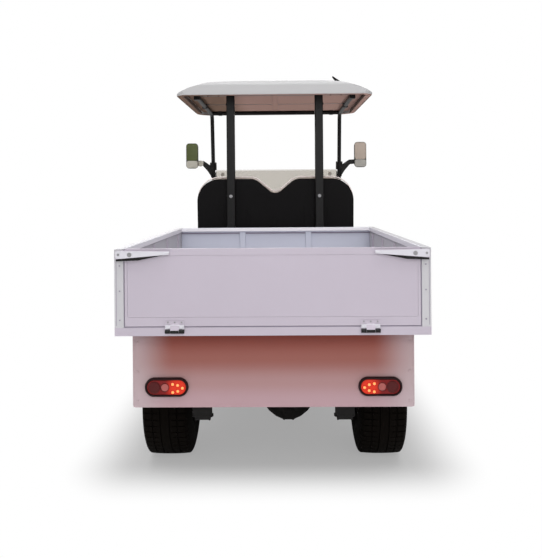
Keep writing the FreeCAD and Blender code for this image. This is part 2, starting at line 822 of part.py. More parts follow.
def leaf_spring(name, x, centre_y, main_top, leaves, length, width, hang_z):
    """A flat leaf pack with an eye at each end, hung from plates that reach up to hang_z."""
    pieces = []
    for index in range(int(leaves.value)):
        leaf_length = length * (1 - 0.23 * index)
        top = main_top - s.leaf_thickness * index
        pieces.append(block(f"{name}_leaf_{index}", (x - width / 2, x + width / 2),
                            (centre_y - leaf_length / 2, centre_y + leaf_length / 2),
                            (top - s.leaf_thickness, top)))
    for end, sign in (("rear", -1), ("front", 1)):
        y = centre_y + length / 2 * sign
        eye_z = main_top - s.spring_eye_radius
        half_eye = s.spring_eye_radius / 2
        pieces.append(rod(f"{name}_eye_{end}", "X", (x - width / 2, y, eye_z), s.spring_eye_radius, width))
        for cheek, direction in (("inner", -1), ("outer", 1)):
            plate_x = x - width / 2 - s.shackle_thickness if direction < 0 else x + width / 2
            plate = new_body(f"{name}_shackle_{end}_{cheek}")
            pad(plate, "YZ", plate_x, plate_x + s.shackle_thickness, [
                (y - s.spring_eye_radius, eye_z - half_eye), (y - half_eye, eye_z - s.spring_eye_radius),
                (y + half_eye, eye_z - s.spring_eye_radius), (y + s.spring_eye_radius, eye_z - half_eye),
                (y + s.spring_eye_radius, hang_z), (y - s.spring_eye_radius, hang_z)])
            pieces.append(plate)
        hanger_half = width / 2 + s.shackle_thickness + s.hanger_margin
        hanger_y = sorted((y + s.spring_eye_radius * sign, y + (s.spring_eye_radius - 6) * sign),
                          key=lambda edge: edge.value)
        pieces.append(block(f"{name}_hanger_{end}", (x - hanger_half, x + hanger_half), tuple(hanger_y),
                            (eye_z + 8, hang_z)))
    clamp_low = main_top - s.leaf_thickness * leaves
    pieces.append(block(f"{name}_clamp", (x - width / 2 - 5, x + width / 2 + 5),
                        (centre_y - 45, centre_y + 45), (clamp_low, main_top + 8)))
    return fuse(name, pieces)


def rear_springs():
    """The rear leaf springs, which sit on the axle tube under the side rails."""
    main_top = axle_z + s.axle_tube_radius + s.leaf_thickness * s.leaf_count
    spring = leaf_spring("rear_spring", s.rail_spacing / 2, rear_axle_y, main_top, s.leaf_count,
                         s.spring_length, s.spring_width, s.rail_rear_bottom)
    return [spring, mirrored("rear_spring_twin", spring)]


def rear_axle():
    """The axle tube, its differential housing and the half-shaft ends that carry the wheels."""
    tube_end = rear_wheel_x - s.hub_length / 2 - 22
    tube = rod("axle_tube", "X", (-tube_end, rear_axle_y, axle_z), s.axle_tube_radius, tube_end * 2)
    shaft_end = rear_wheel_x + s.hub_length / 2 - 18
    shaft = rod("half_shafts", "X", (-shaft_end, rear_axle_y, axle_z), s.spindle_radius, shaft_end * 2)
    housing = new_body("diff_housing", s.diff_offset, rear_axle_y, axle_z)
    half = s.diff_width / 2
    neck = s.axle_tube_radius + 6
    belly = s.diff_radius - 16
    cheek = s.diff_radius - 42
    right_side = [(half, neck), (half * 0.75, cheek), (half * 0.48, belly), (s.diff_flat, s.diff_radius)]
    left_side = [(-x, radius) for x, radius in reversed(right_side)]
    revolve(housing, [(-half, 0), (half, 0)] + right_side + left_side)
    keep(fuse("rear_axle", [tube, shaft, housing]), "rear_axle")


def drive_motor():
    """The motor beside the differential, with the neck that bolts to its housing."""
    motor_start = s.diff_offset - 40 - s.motor_length
    motor = new_body("motor_case", motor_start, rear_axle_y + s.motor_offset, axle_z + 20)
    edge = s.motor_edge
    revolve(motor, [(0, 0), (s.motor_length, 0), (s.motor_length, s.motor_radius), (edge, s.motor_radius),
                    (0, s.motor_radius - edge)])
    neck = block("motor_neck", (s.diff_offset - 60, s.diff_offset + 20),
                 (rear_axle_y + s.diff_radius - 12, rear_axle_y + s.motor_offset),
                 (axle_z - 30, axle_z + 50))
    housing_gap = rod("motor_seat", "X", (s.diff_offset - 200, rear_axle_y, axle_z), s.diff_radius + 0.3,
                      400)
    keep(cut("drive_motor_cut", fuse("motor_with_neck", [motor, neck]), housing_gap), "drive_motor")


def battery_pack():
    """The batteries in the seat pod, as one closed block."""
    y = seat_base_y + s.seat_base_wall + 12
    keep(block("battery_pack", (-s.battery_width / 2, s.battery_width / 2), (y, y + s.battery_length),
               (rail_low_top, rail_low_top + s.battery_height)), "battery_pack")


def seat_base():
    """The hollow pod under the seat, with a sloped front and a large opening in its top."""
    half = seat_base_half
    wall = s.seat_base_wall
    pod = new_body("seat_base")
    front = seat_base_front_y
    pad(pod, "YZ", -half, half, [
        (seat_base_y, rail_low_top), (front - s.seat_front_slope, rail_low_top),
        (front, s.seat_base_top, 25), (seat_base_y, s.seat_base_top, 10)])
    pocket(pod, "YZ", -half + wall, half - wall, [
        (seat_base_y + wall, rail_low_top - 1), (front - s.seat_front_slope - wall, rail_low_top - 1),
        (front - wall, s.seat_base_top - wall, 20), (seat_base_y + wall, s.seat_base_top - wall, 6)])
    pocket(pod, "XY", s.seat_base_top - wall - 1, s.seat_base_top + 1, [
        (-half + 120, seat_base_y + 80, 20), (half - 120, seat_base_y + 80, 20),
        (half - 120, front - 110, 20), (-half + 120, front - 110, 20)])
    keep(pod, "seat_base")


def seat_cushion():
    """The bench cushion, with wide corners at its front."""
    cushion = new_body("seat_cushion")
    half = s.cushion_width / 2
    front = seat_base_front_y + 12
    pad(cushion, "XY", s.seat_base_top, s.seat_base_top + s.cushion_height, [
        (-half, front - s.cushion_length, 50), (half, front - s.cushion_length, 50),
        (half, front, 80), (-half, front, 80)])
    keep(cushion, "seat_cushion")


def back_outline(proud, bottom):
    """The backrest's outline, seen from behind, proud of the shell's top, with its notched middle."""
    top = s.shell_top + proud
    half = s.shell_width / 2
    foot = half - s.shell_taper / 2
    notch = s.notch_width / 2
    return [(-foot, bottom, 40), (foot, bottom, 40), (half, top, s.shell_corner),
            (notch, top, s.notch_shoulder), (0, top - s.notch_depth, s.notch_round),
            (-notch, top, s.notch_shoulder), (-half, top, s.shell_corner)]


def seat_back():
    """The moulded shell on its four stand-offs, and the cushion that fills it."""
    shell = new_body("seat_back_shell")
    pad(shell, "XZ", shell_y, shell_y + s.shell_thickness, back_outline(as_size(0), s.shell_bottom))
    for index, z in enumerate((s.shell_top - 112, s.shell_bottom + 110)):
        x = s.rear_post_spacing / 2
        pad(shell, "XZ", rear_post_face_y, shell_y, rounds=[(-x, z, 14), (x, z, 14)])
    keep(shell, "seat_back_shell")
    cushion = new_body("backrest_cushion")
    start = shell_y + s.shell_thickness
    bottom = s.seat_base_top + s.cushion_height + 1
    pad(cushion, "XZ", start, start + s.backrest_thickness, back_outline(s.cushion_proud, bottom))
    keep(cushion, "backrest_cushion")


def armrests():
    """A bent tube loop at each end of the bench."""
    x = s.shell_width / 2 + s.cushion_proud + s.armrest_gap
    rear = seat_base_y + 60
    rest = bent_tube("armrest", x, [
        (rear, s.seat_base_top), (rear, s.armrest_height, 60),
        (rear + s.armrest_length, s.armrest_height, 60), (rear + s.armrest_length, s.seat_base_top)],
        s.armrest_tube)
    keep(pair("armrests", rest), "armrests")


def rear_posts():
    """The square posts that run from the low rails up to the roof, past the seat's back."""
    x = s.rear_post_spacing / 2
    half = s.rear_post_width / 2
    post = new_body("rear_post")
    pad(post, "XY", rail_low_top, roof_ceiling_z - s.roof_strap, [
        (x - half, rear_post_y, 5), (x + half, rear_post_y, 5),
        (x + half, rear_post_face_y, 5), (x - half, rear_post_face_y, 5)])
    keep(pair("rear_posts", post), "rear_posts")


def roof_frame():
    """Front posts bent back into the roof's side rails, joined by a crossbar and a rear strap."""
    x = s.front_post_spacing / 2
    radius = s.front_post_radius
    middle_y = rear_post_y + s.rear_post_width / 2
    side = bent_tube("roof_side", x, [
        (post_foot_y, s.post_foot_z), (post_y(roof_rail_z), roof_rail_z, s.roof_bend),
        (middle_y - radius, roof_rail_z)], radius)
    pieces = [side, mirrored("roof_side_twin", side)]
    pieces.append(block("roof_strap_rear", (-x, x), (rear_post_y, rear_post_face_y),
                        (roof_ceiling_z - s.roof_strap, roof_ceiling_z)))
    pieces.append(rod("roof_bar_front", "X", (-x, post_y(roof_rail_z) - s.roof_bend, roof_rail_z),
                      radius, x * 2))
    foot = rod("post_foot", "Z", (x, post_foot_y, s.post_foot_z - 60), radius + 9, 72)
    pieces += [foot, mirrored("post_foot_twin", foot)]
    keep(cut("roof_frame", fuse("roof_frame_solid", pieces), doc.getObject("under_toe")), "roof_frame")


def roof_canopy():
    """The moulded roof: crowned on top, rounded in plan, with a hollow underside inside its rim."""
    half = s.roof_width / 2
    low = s.roof_lip
    face = low + s.roof_face
    crown = low + s.roof_crown
    edge = low + s.roof_edge
    slope = low + s.roof_slope_up
    across = new_body("roof_across")
    pad(across, "XZ", roof_rear_y, roof_front_y, [
        (-half, low, 4), (half, low, 4), (half, edge, 10), (half - s.roof_slope_in, slope, 90),
        (half - s.roof_slope_in * 2.3, face - 4, 260), (0, crown, 1500),
        (-half + s.roof_slope_in * 2.3, face - 4, 260), (-half + s.roof_slope_in, slope, 90),
        (-half, edge, 10)])
    along = new_body("roof_along")
    pad(along, "YZ", -half, half, [
        (roof_rear_y, low, 6), (roof_front_y, low + s.roof_front_lift, 6), (roof_front_y - 20, face - 8, 40),
        (roof_front_y - 200, crown, 300), (roof_rear_y + 120, crown, 200), (roof_rear_y + 8, face, 30)])
    plan = new_body("roof_plan")
    pad(plan, "XY", low, crown + 1, [
        (-half, roof_rear_y, 60), (half, roof_rear_y, 60), (half, roof_front_y, 150),
        (-half, roof_front_y, 150)])
    moulding = common("roof_moulding", [across, along, plan])
    rim = s.roof_rim
    hollow = new_body("roof_hollow")
    pad(hollow, "XY", low - 1, roof_ceiling_z, [
        (-half + rim, roof_rear_y + rim, 40), (half - rim, roof_rear_y + rim, 40),
        (half - rim, roof_front_y - rim, 120), (-half + rim, roof_front_y - rim, 120)])
    keep(cut("roof_canopy", moulding, hollow), "roof_canopy")


def aerial():
    """A short mast that leans across the roof from its foot."""
    crown = s.roof_lip + s.roof_crown
    mast = new_body("aerial_mast")
    y = roof_rear_y + s.aerial_setback
    tip = s.aerial_tip_x
    foot = tip + s.aerial_reach
    high = crown + s.aerial_rise
    pad(mast, "XZ", y, y + 16, [
        (tip, high, 3), (tip, high - 9, 3), (foot - 30, crown - 62), (foot, crown - 62),
        (foot, crown - 26, 4)])
    keep(cut("aerial_seated", mast, doc.getObject("roof_moulding")), "aerial")


def windshield():
    """Two tinted panes in the raked plane of the front posts, the upper one folded down in front."""
    rake = s.post_rake
    half = s.front_post_spacing / 2 - s.front_post_radius - s.pin_clearance
    turn = Rotation(Vector(1, 0, 0), rake.value)
    base_y = post_y(s.glass_bottom)
    height = (s.glass_top - s.glass_bottom) / cosine(rake)
    thick = s.glass_thickness
    corner = s.glass_corner
    lower = new_body("windshield_lower", 0, base_y, s.glass_bottom, turn)
    pad(lower, "XZ", -thick / 2, thick / 2, [
        (-half, 0, corner), (half, 0, corner), (half, height, corner), (-half, height, corner)])
    for sign in (-1, 1):
        x = s.clip_spacing / 2 * sign
        pad(lower, "XZ", thick / 2, s.folded_gap, rounds=[(x, height - s.clip_drop, s.clip_radius)])
    keep(lower, "windshield_lower")
    folded = new_body("windshield_folded", 0, base_y, s.glass_bottom, turn)
    pad(folded, "XZ", s.folded_gap, s.folded_gap + thick, [
        (-half, height - s.folded_drop, corner), (half, height - s.folded_drop, corner),
        (half, height + s.glass_overlap, corner), (-half, height + s.glass_overlap, corner)])
    keep(folded, "windshield_folded")


def cowl_form(name, grow, rear):
    """The front body's outer form, or with grow below zero the same form inside its wall."""
    half = s.body_width / 2 + grow
    low = s.rocker_bottom + 20 - grow
    nose = nose_y - s.cowl_nose_in + grow
    belt = s.cowl_belt + grow
    hood = s.cowl_hood + grow
    top = s.cowl_top_rear + grow
    belt_x = half - s.cowl_belt_in
    shoulder_x = half - s.cowl_shoulder_in
    crown_x = half - s.cowl_crown_in
    corner_x = half - s.cowl_corner_in
    along = new_body(name + "_along")
    pad(along, "YZ", -half, half, [
        (rear, low), (nose - 30, low), (nose, low + 120, 40), (nose - 8, s.cowl_nose_high + grow, 60),
        (nose - s.cowl_hood_in, hood, 120), (post_y(s.cowl_top_rear) + 30, top, 120), (rear, top)])
    across = new_body(name + "_across")
    pad(across, "XZ", rear, nose, [
        (-half, low), (half, low), (half, belt, 70), (belt_x, belt + s.cowl_belt_rise, 70),
        (shoulder_x, s.cowl_shoulder + grow, 120), (crown_x, s.cowl_crown + grow, 160),
        (0, s.cowl_crown + 20 + grow, 1200),
        (-crown_x, s.cowl_crown + grow, 160), (-shoulder_x, s.cowl_shoulder + grow, 120),
        (-belt_x, belt + s.cowl_belt_rise, 70), (-half, belt, 70)])
    plan = new_body(name + "_plan")
    pad(plan, "XY", low, s.cowl_top_rear + 60, [
        (-half, rear), (half, rear), (half, nose - 120, 150), (corner_x, nose - 18, 120), (0, nose, 900),
        (-corner_x, nose - 18, 120), (-half, nose - 120, 150)])
    return common(name, [along, across, plan])


def front_cowl():
    """The hollow front body, with its wheel arches open."""
    outer = cowl_form("cowl_outer", as_size(0), cowl_shell_y)
    inner = cowl_form("cowl_inner", -s.cowl_wall, cowl_shell_y - 1)
    shell = cut("cowl_shell", outer, inner)
    arches = rod("cowl_arches", "X", (-s.body_width, front_axle_y, axle_z), arch_radius, s.body_width * 2)
    open_low = block("cowl_open_low", (-s.body_width, s.body_width), (cowl_shell_y - 10, nose_y - 90),
                     (s.rocker_bottom - 50, s.rocker_bottom + 20 + s.cowl_wall + 1))
    open_front = block("cowl_open_front", (-s.body_width, s.body_width), (front_axle_y, nose_y + 10),
                       (s.rocker_bottom - 50, s.cowl_front_bottom))
    tools = [arches, open_low, open_front]
    for side, sign in (("left", -1), ("right", 1)):
        space = doc.addObject("Part::Cylinder", f"post_space_{side}")
        space.Placement = FreeCAD.Placement(Vector(), Rotation(Vector(1, 0, 0), s.post_rake.value))
        place(space, s.front_post_spacing / 2 * sign, post_foot_y, s.post_foot_z)
        bind(space, "Radius", s.front_post_radius * OCTAGON_CORNER + s.pin_clearance)
        bind(space, "Height", s.cowl_top_rear - s.post_foot_z + 200)
        tools.append(space)
    keep(cut("front_cowl", shell, fuse("cowl_openings", tools)), "front_cowl")


def dashboard():
    """The padded dash on the firewall, with the column's way through it."""
    half = s.front_post_spacing / 2 - 30
    y = cowl_shell_y
    top = s.cowl_top_rear - s.cowl_wall - 1
    dash = new_body("dash_form")
    pad(dash, "YZ", -half, half, [
        (y, s.firewall_top), (y - 40, s.firewall_top, 20), (y - s.dash_depth, s.firewall_top + 70, 30),
        (y - s.dash_depth + 20, top - 30, 30),
        (y - 40, top, 20), (y, top)])
    keep(cut("dashboard", dash, column_space("dash_column_space")), "dashboard")


def floor_pan():
    """The footwell floor, turned up at the front into the toe board."""
    half = s.body_width / 2 - s.cowl_wall - 30
    low = rail_low_top
    sheet_t = s.floor_sheet
    start = seat_base_front_y - s.seat_front_slope + 2
    end_y = toe_y + s.toe_rise
    end_z = low + s.toe_rise
    pan = new_body("floor_form")
    pad(pan, "YZ", -half, half, [
        (start, low), (toe_y, low), (end_y, end_z), (end_y - sheet_t, end_z + 3), (toe_y - 3, low + sheet_t),
        (start, low + sheet_t)])
    pad(pan, "XZ", end_y - sheet_t, end_y, [
        (-s.firewall_width / 2, end_z), (s.firewall_width / 2, end_z),
        (s.firewall_width / 2, s.firewall_top), (-s.firewall_width / 2, s.firewall_top)])
    under = new_body("under_toe")
    pad(under, "YZ", -half, half, [
        (toe_y - 60, low - 200), (end_y, low - 200), (end_y, end_z + sheet_t + 3 - 9),
        (end_y - sheet_t, end_z + 3), (toe_y - 3, low + sheet_t), (toe_y - 60, low + sheet_t)])
    keep(cut("floor_pan", pan, column_space("pan_column_space")), "floor_pan")


def rocker_panels():
    """The sills under the footwell."""
    outer = s.body_width / 2 - 4
    inner = outer - s.rocker_width
    sill = new_body("rocker")
    pad(sill, "XZ", seat_base_y, cowl_shell_y - 0.3, [
        (inner, s.rocker_bottom, 8), (outer - 12, s.rocker_bottom, 12), (outer, s.rocker_bottom + 50, 20),
        (outer, rail_low_top - 0.3, 10), (inner, rail_low_top - 0.3)])
    keep(pair("rocker_panels", sill), "rocker_panels")


def front_bumper():
    """A wrapped bar on two brackets, with a towing eye under its middle."""
    low = s.rocker_bottom
    bar = new_body("bumper_bar")
    half = s.body_width / 2 - 84
    pad(bar, "XY", low + 10, low + 90, [
        (-half, nose_y - 62), (-half + 40, nose_y - 16, 60), (-half + 220, nose_y, 500),
        (half - 220, nose_y, 500), (half - 40, nose_y - 16, 60), (half, nose_y - 62),
        (half - 20, nose_y - 70),
        (half - 58, nose_y - 36, 50), (half - 220, nose_y - 24, 500), (-half + 220, nose_y - 24, 500),
        (-half + 58, nose_y - 36, 50), (-half + 20, nose_y - 70)])
    stub = s.stub_spacing / 2
    end_y = nose_y - s.stub_end_setback
    pieces = [bar]
    for side, sign in (("left", -1), ("right", 1)):
        pieces.append(block(f"bumper_bracket_{side}", (stub * sign - 20, stub * sign + 20),
                            (end_y, nose_y - 20), (low + 15, low + 85)))
    eye = new_body("tow_eye")
    pad(eye, "XY", low + 20, low + 36, [
        (-32, end_y), (32, end_y), (32, nose_y - 20), (-32, nose_y - 20)])
    pieces.append(eye)
    solid = fuse("bumper_solid", pieces)
    bore = rod("tow_bore", "Z", (0, end_y + 26, low), 9, 60)
    keep(cut("front_bumper", solid, bore), "front_bumper")


def headlamps():
    """Each lamp follows the nose's outer form, and stands a little proud of it."""
    lamp = new_body("headlamp", s.headlamp_spacing / 2, nose_y - 70, s.headlamp_z)
    half_w = s.headlamp_width / 2
    half_h = s.headlamp_height / 2
    pad(lamp, "XZ", -60, 40, [
        (-half_w, -half_h, 30), (half_w, -half_h, 30), (half_w, half_h, 30), (-half_w, half_h, 30)])
    seat = doc.getObject("cowl_outer")
    keep(pair("headlamps", cut("headlamp_seated", lamp, seat)), "headlamps")


def mirrors():
    """Door mirrors, each on a flat arm from a front post."""
    x = s.mirror_spacing / 2
    half_w = s.mirror_width / 2
    half_h = s.mirror_height / 2
    y = post_y(s.glass_top + s.mirror_clamp_gap + s.front_post_radius * 3)
    head = new_body("mirror_head")
    pad(head, "XZ", y - s.mirror_depth / 2, y + s.mirror_depth / 2, [
        (x - half_w, s.mirror_z - half_h, 25), (x + half_w, s.mirror_z - half_h, 25),
        (x + half_w, s.mirror_z + half_h, 25), (x - half_w, s.mirror_z + half_h, 25)])
    post_x = s.front_post_spacing / 2
    post_side = post_x + s.front_post_radius
    clamp_low = s.glass_top + s.mirror_clamp_gap
    arm_low = clamp_low - s.mirror_arm_drop
    arm_high = clamp_low + s.mirror_clamp_height / 2
    arm = new_body("mirror_arm")
    pad(arm, "XZ", y - 6, y + 6, [
        (post_side - 3, arm_low), (post_side + 30, arm_low + 50), (post_side + 70, arm_high + 8),
        (x - 10, arm_high + 14), (x + 12, arm_high + 30), (x - 20, arm_high + 48),
        (post_side + 62, arm_high + 44),
        (post_side - 3, arm_high)])
    saddle = new_body("mirror_saddle")
    pad(saddle, "YZ", post_x + 6, post_side + 6, [
        (post_y(arm_low) - 8, arm_low), (post_y(arm_low) + 8, arm_low),
        (post_y(arm_high) + 8, arm_high), (post_y(arm_high) - 8, arm_high)])
    clamp = rod("mirror_clamp", "Z", (post_x, post_y(clamp_low + s.mirror_clamp_height / 2), clamp_low),
                s.front_post_radius + 12, s.mirror_clamp_height)
    solid = fuse("mirror_solid", [head, arm, saddle, clamp])
    frame = doc.getObject("roof_frame")
    keep(pair("mirrors", cut("mirror", solid, frame)), "mirrors")


def front_axle():
    """A beam with a fork and a fixed kingpin at each end."""
    ear = 18
    gap = s.knuckle_height / 2 + s.pin_clearance
    web_outer = kingpin_x - s.knuckle_radius - 16
    beam = block("beam", (-web_outer + 22, web_outer - 22), (front_axle_y - 24, front_axle_y + 24),
                 (axle_z - s.front_beam_half, axle_z + s.front_beam_half))
    pieces = [beam]
    for side, sign in (("left", -1), ("right", 1)):
        low_x = (web_outer - 24) * sign
        high_x = web_outer * sign
        x_range = (low_x, high_x) if sign > 0 else (high_x, low_x)
        pieces.append(block(f"fork_web_{side}", x_range, (front_axle_y - 20, front_axle_y + 20),
                            (axle_z - gap - ear, axle_z + gap + ear)))
        for level, z in (("top", axle_z + gap), ("foot", axle_z - gap - ear)):
            ear_x = (web_outer - 10, kingpin_x) if sign > 0 else (-kingpin_x, -web_outer + 10)
            pieces.append(block(f"fork_{level}_{side}", ear_x, (front_axle_y - 20, front_axle_y + 20),
                                (z, z + ear)))
            pieces.append(rod(f"fork_eye_{level}_{side}", "Z", (kingpin_x * sign, front_axle_y, z), 20, ear))
        pieces.append(rod(f"kingpin_{side}", "Z", (kingpin_x * sign, front_axle_y, axle_z - gap - ear),
                          s.kingpin_radius, (gap + ear) * 2))
    keep(fuse("front_axle", pieces), "front_axle")


def front_springs():
    """The shorter front leaf springs, which sit on the axle beam under the stub rails."""
    main_top = axle_z + s.front_beam_half + s.leaf_thickness * s.front_leaf_count
    spring = leaf_spring("front_spring", s.stub_spacing / 2, front_axle_y, main_top, s.front_leaf_count,
                         s.front_spring_length, s.front_spring_width, stub_bottom_z)
    return [spring, mirrored("front_spring_twin", spring)]


def pedals():
    """Two pads that face the driver's feet, each on a stalk from the sloped toe board."""
    pieces = []
    slope = 45
    half_w = s.pedal_width / 2
    half_l = s.pedal_length / 2
    stalk = s.pedal_stalk
    for name, x in (("brake", -s.brake_x), ("throttle", -s.throttle_x)):
        pad_body = new_body(f"{name}_pedal", x, toe_y + 60, rail_low_top + 90,
                            Rotation(Vector(1, 0, 0), slope))
        pad(pad_body, "XY", stalk - 1, stalk + 11, [
            (-half_w, -half_l, 12), (half_w, -half_l, 12), (half_w, half_l, 12), (-half_w, half_l, 12)])
        pad(pad_body, "XY", -stalk, stalk, rounds=[(0, 0, 9)])
        pieces.append(pad_body)
    keep(cut("pedals", together("pedal_pair", pieces), doc.getObject("under_toe")), "pedals")


COLUMN_TURN = Rotation(Vector(1, 0, 0), s.column_lean.value)


def column_rod(name, radius, low, high):
    """A round bar on the steering axis, between two distances below the steering wheel."""
    lean = s.column_lean
    bar = doc.addObject("Part::Cylinder", name)
    bar.Placement = FreeCAD.Placement(Vector(), COLUMN_TURN)
    place(bar, -s.wheel_offset_x, wheel_centre_y + high * sine(lean),
          s.wheel_centre_z - high * cosine(lean))
    bind(bar, "Radius", radius)
    bind(bar, "Height", as_size(high) - low)
    return bar


def column_space(name):
    return column_rod(name, s.column_radius + s.pin_clearance, as_size(40), s.column_length + 60)


def steering_column():
    """The column tube, down through the dash and the toe board to its steering box."""
    column = column_rod("column_tube", s.column_radius, as_size(60), s.column_length)
    start = toe_y + s.steering_box_setback
    end = start + s.steering_box_length
    box = block("steering_box", (-s.wheel_offset_x - 20, -s.stub_spacing / 2 + 20),
                (start, end), (rail_low_top + 30, rail_low_top + 30 + s.steering_box_height))
    foot = block("steering_foot", (-s.stub_spacing / 2 - 20, -s.stub_spacing / 2 + 20),
                 (start + 10, end - 10), (rail_low_top, rail_low_top + 31))
    solid = fuse("steering_solid", [column, box, foot])
    keep(cut("steering_column", solid, doc.getObject("floor_pan")), "steering_column")


def steering_wheel():
    """The rim, its hub on the column and three spokes."""
    lean = s.column_lean
    radius = s.steering_wheel_diameter / 2 - s.steering_rim_radius
    rim = new_body("steering_rim", -s.wheel_offset_x, wheel_centre_y, s.wheel_centre_z,
                   COLUMN_TURN * Rotation(Vector(0, 1, 0), -90))
    revolve(rim, octagon(as_size(0), radius, s.steering_rim_radius))
    pieces = [rim, column_rod("steering_hub", as_size(38), as_size(-8), as_size(59.7))]
    for index in range(3):
        spoke = new_body(f"spoke_{index}", -s.wheel_offset_x, wheel_centre_y, s.wheel_centre_z,
                         COLUMN_TURN * Rotation(Vector(0, 0, 1), 30 + 120 * index))
        pad(spoke, "XY", -6, 4, [(20, -16), (radius, -11), (radius, 11), (20, 16)])
        pieces.append(spoke)
    keep(fuse("steering_wheel", pieces), "steering_wheel")


def knuckle(side, sign):
    """The steering knuckle: boss on the kingpin, spindle to the wheel and arm to the tie rod."""
    x = kingpin_x * sign
    boss_low = axle_z - s.knuckle_height / 2
    boss = rod(f"boss_{side}", "Z", (x, front_axle_y, boss_low), s.knuckle_radius, s.knuckle_height)
    end = front_wheel_x + s.hub_length / 2 - 18
    length = end - kingpin_x
    start_x = x if sign > 0 else -end
    spindle = rod(f"spindle_{side}", "X", (start_x, front_axle_y, axle_z), s.spindle_radius, length)
    collar = rod(f"collar_{side}", "X", (x if sign > 0 else x - 60, front_axle_y, axle_z), 24, 60)
    arm = new_body(f"steer_arm_{side}")
    ball_x = x
    ball_y = front_axle_y - s.steer_arm
    arm_low = boss_low + 8
    pad(arm, "XY", arm_low, arm_low + 16, [
        (x - 13, front_axle_y), (ball_x - 13, ball_y - 5), (ball_x - 6, ball_y - 13),
        (ball_x + 6, ball_y - 13), (ball_x + 13, ball_y - 5), (x + 13, front_axle_y)])
    stud = rod(f"ball_stud_{side}", "Z", (ball_x, ball_y, arm_low - 26), 7, 27)
    solid = fuse(f"knuckle_solid_{side}", [boss, spindle, collar, arm, stud])
    bore = rod(f"kingpin_bore_{side}", "Z", (x, front_axle_y, boss_low - 40),
               s.kingpin_radius + s.pin_clearance, 160)
    keep(cut(f"knuckle_{side}", solid, bore), f"knuckle_{side}")


def tie_rod():
    """The track rod under the steering arms, with an eye round each ball stud."""
    ball_x = kingpin_x
    ball_y = front_axle_y - s.steer_arm
    stud_low = axle_z - s.knuckle_height / 2 + 8 - 26
    z = stud_low + 12
    bar = rod("tie_bar", "X", (-ball_x + 12, ball_y, z), s.tie_rod_radius, (ball_x - 12) * 2)
    eyes = []
    bores = []
    for side, sign in (("left", -1), ("right", 1)):
        eyes.append(rod(f"tie_eye_{side}", "Z", (ball_x * sign, ball_y, z - 11), 16, 22))
        clearance = 7 + s.pin_clearance if sign < 0 else as_size(8)
        bores.append(rod(f"tie_bore_{side}", "Z", (ball_x * sign, ball_y, z - 30), clearance, 60))
    keep(cut("tie_rod", fuse("tie_solid", [bar] + eyes), together("tie_bores", bores)), "tie_rod")


def wheel(corner, x, y, turned):
    """One wheel: a tyre with rounded shoulders on a dished steel rim with a hub."""
    turn = Rotation(Vector(0, 0, 1), 180 if turned else 0)
    half = s.tyre_width / 2
    bead = s.rim_diameter / 2
    outer = s.tyre_diameter / 2
    edge = half - s.rim_inset
    tyre = new_body(f"{corner}_tyre_body", x, y, axle_z, turn)
    right_side = [(edge, bead), (half, bead + 40), (half - 3, outer - s.tyre_side),
                  (half - s.tyre_shoulder / 2, outer - s.tyre_drop), (half - s.tyre_shoulder, outer)]
    left_side = [(-corner_x, radius) for corner_x, radius in reversed(right_side)]
    revolve(tyre, right_side + left_side)
    keep(tyre, f"{corner}_tyre")
    rim = new_body(f"{corner}_rim_body", x, y, axle_z, turn)
    hub_half = s.hub_length / 2
    bore = s.spindle_radius + s.bearing_clearance
    disc = s.rim_disc_offset
    well = bead - s.rim_well
    revolve(rim, [
        (-edge, bead), (-edge, bead - 8), (-edge + 14, well), (disc - 8, well), (disc - 8, s.hub_radius + 30),
        (disc - 24, s.hub_radius), (-hub_half, s.hub_radius), (-hub_half, bore), (hub_half - 10, bore),
        (hub_half - 10, 0), (hub_half + 14, 0), (hub_half + 14, s.hub_cap_radius - 8),
        (hub_half + 6, s.hub_cap_radius), (disc + 4, s.hub_cap_radius + 4), (disc - 4, s.hub_radius + 34),
        (disc + 6, well - 6), (edge, bead - 8), (edge, bead)])
    keep(rim, f"{corner}_rim")


def check_document():
    """Stops with a plain message if any object failed or any sub-part has no sound shape."""
    for item in doc.Objects:
        if "Invalid" in item.State or "Error" in item.State:
            raise ValueError(f"{item.Name}: {item.State}")
    for node in NODES:
        if node.Shape.isNull() or not node.Shape.isValid() or not node.Shape.Solids:
            raise ValueError(f"{node.Label}: no sound shape")


def write_parts():
    os.makedirs("parts", exist_ok=True)
    for node in NODES:
        node.Shape.exportStep(f"parts/{node.Label}.step")


def build():
    frame_rails()
    cross_members()
    bed_floor()
    bed_sides()
    bed_headboard()
    tailgate()
    rear_panel()
    rear_skirts()
    tail_lamps()
    rear_axle()
    drive_motor()
    battery_pack()
    seat_base()
    seat_cushion()
    seat_back()
    armrests()
    rear_posts()
    floor_pan()
    roof_frame()
    roof_canopy()
    aerial()
    windshield()
    front_cowl()
    dashboard()
    rocker_panels()
    front_bumper()
    headlamps()
    mirrors()
    front_axle()
    keep(together("leaf_springs", rear_springs() + front_springs()), "leaf_springs")
    pedals()
    steering_column()
    steering_wheel()
    knuckle("left", -1)
    knuckle("right", 1)
    tie_rod()
    for corner, x, y, turned in (
            ("front_left", -front_wheel_x, front_axle_y, True),
            ("front_right", front_wheel_x, front_axle_y, False),
            ("rear_left", -rear_wheel_x, rear_axle_y, True),
            ("rear_right", rear_wheel_x, rear_axle_y, False)):
        wheel(corner, x, y, turned)
    doc.recompute()
    check_document()
    write_parts()


build()
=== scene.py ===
import json
import math

import bmesh
import bpy
from mathutils import Matrix, Quaternion, Vector
from mathutils.bvhtree import BVHTree


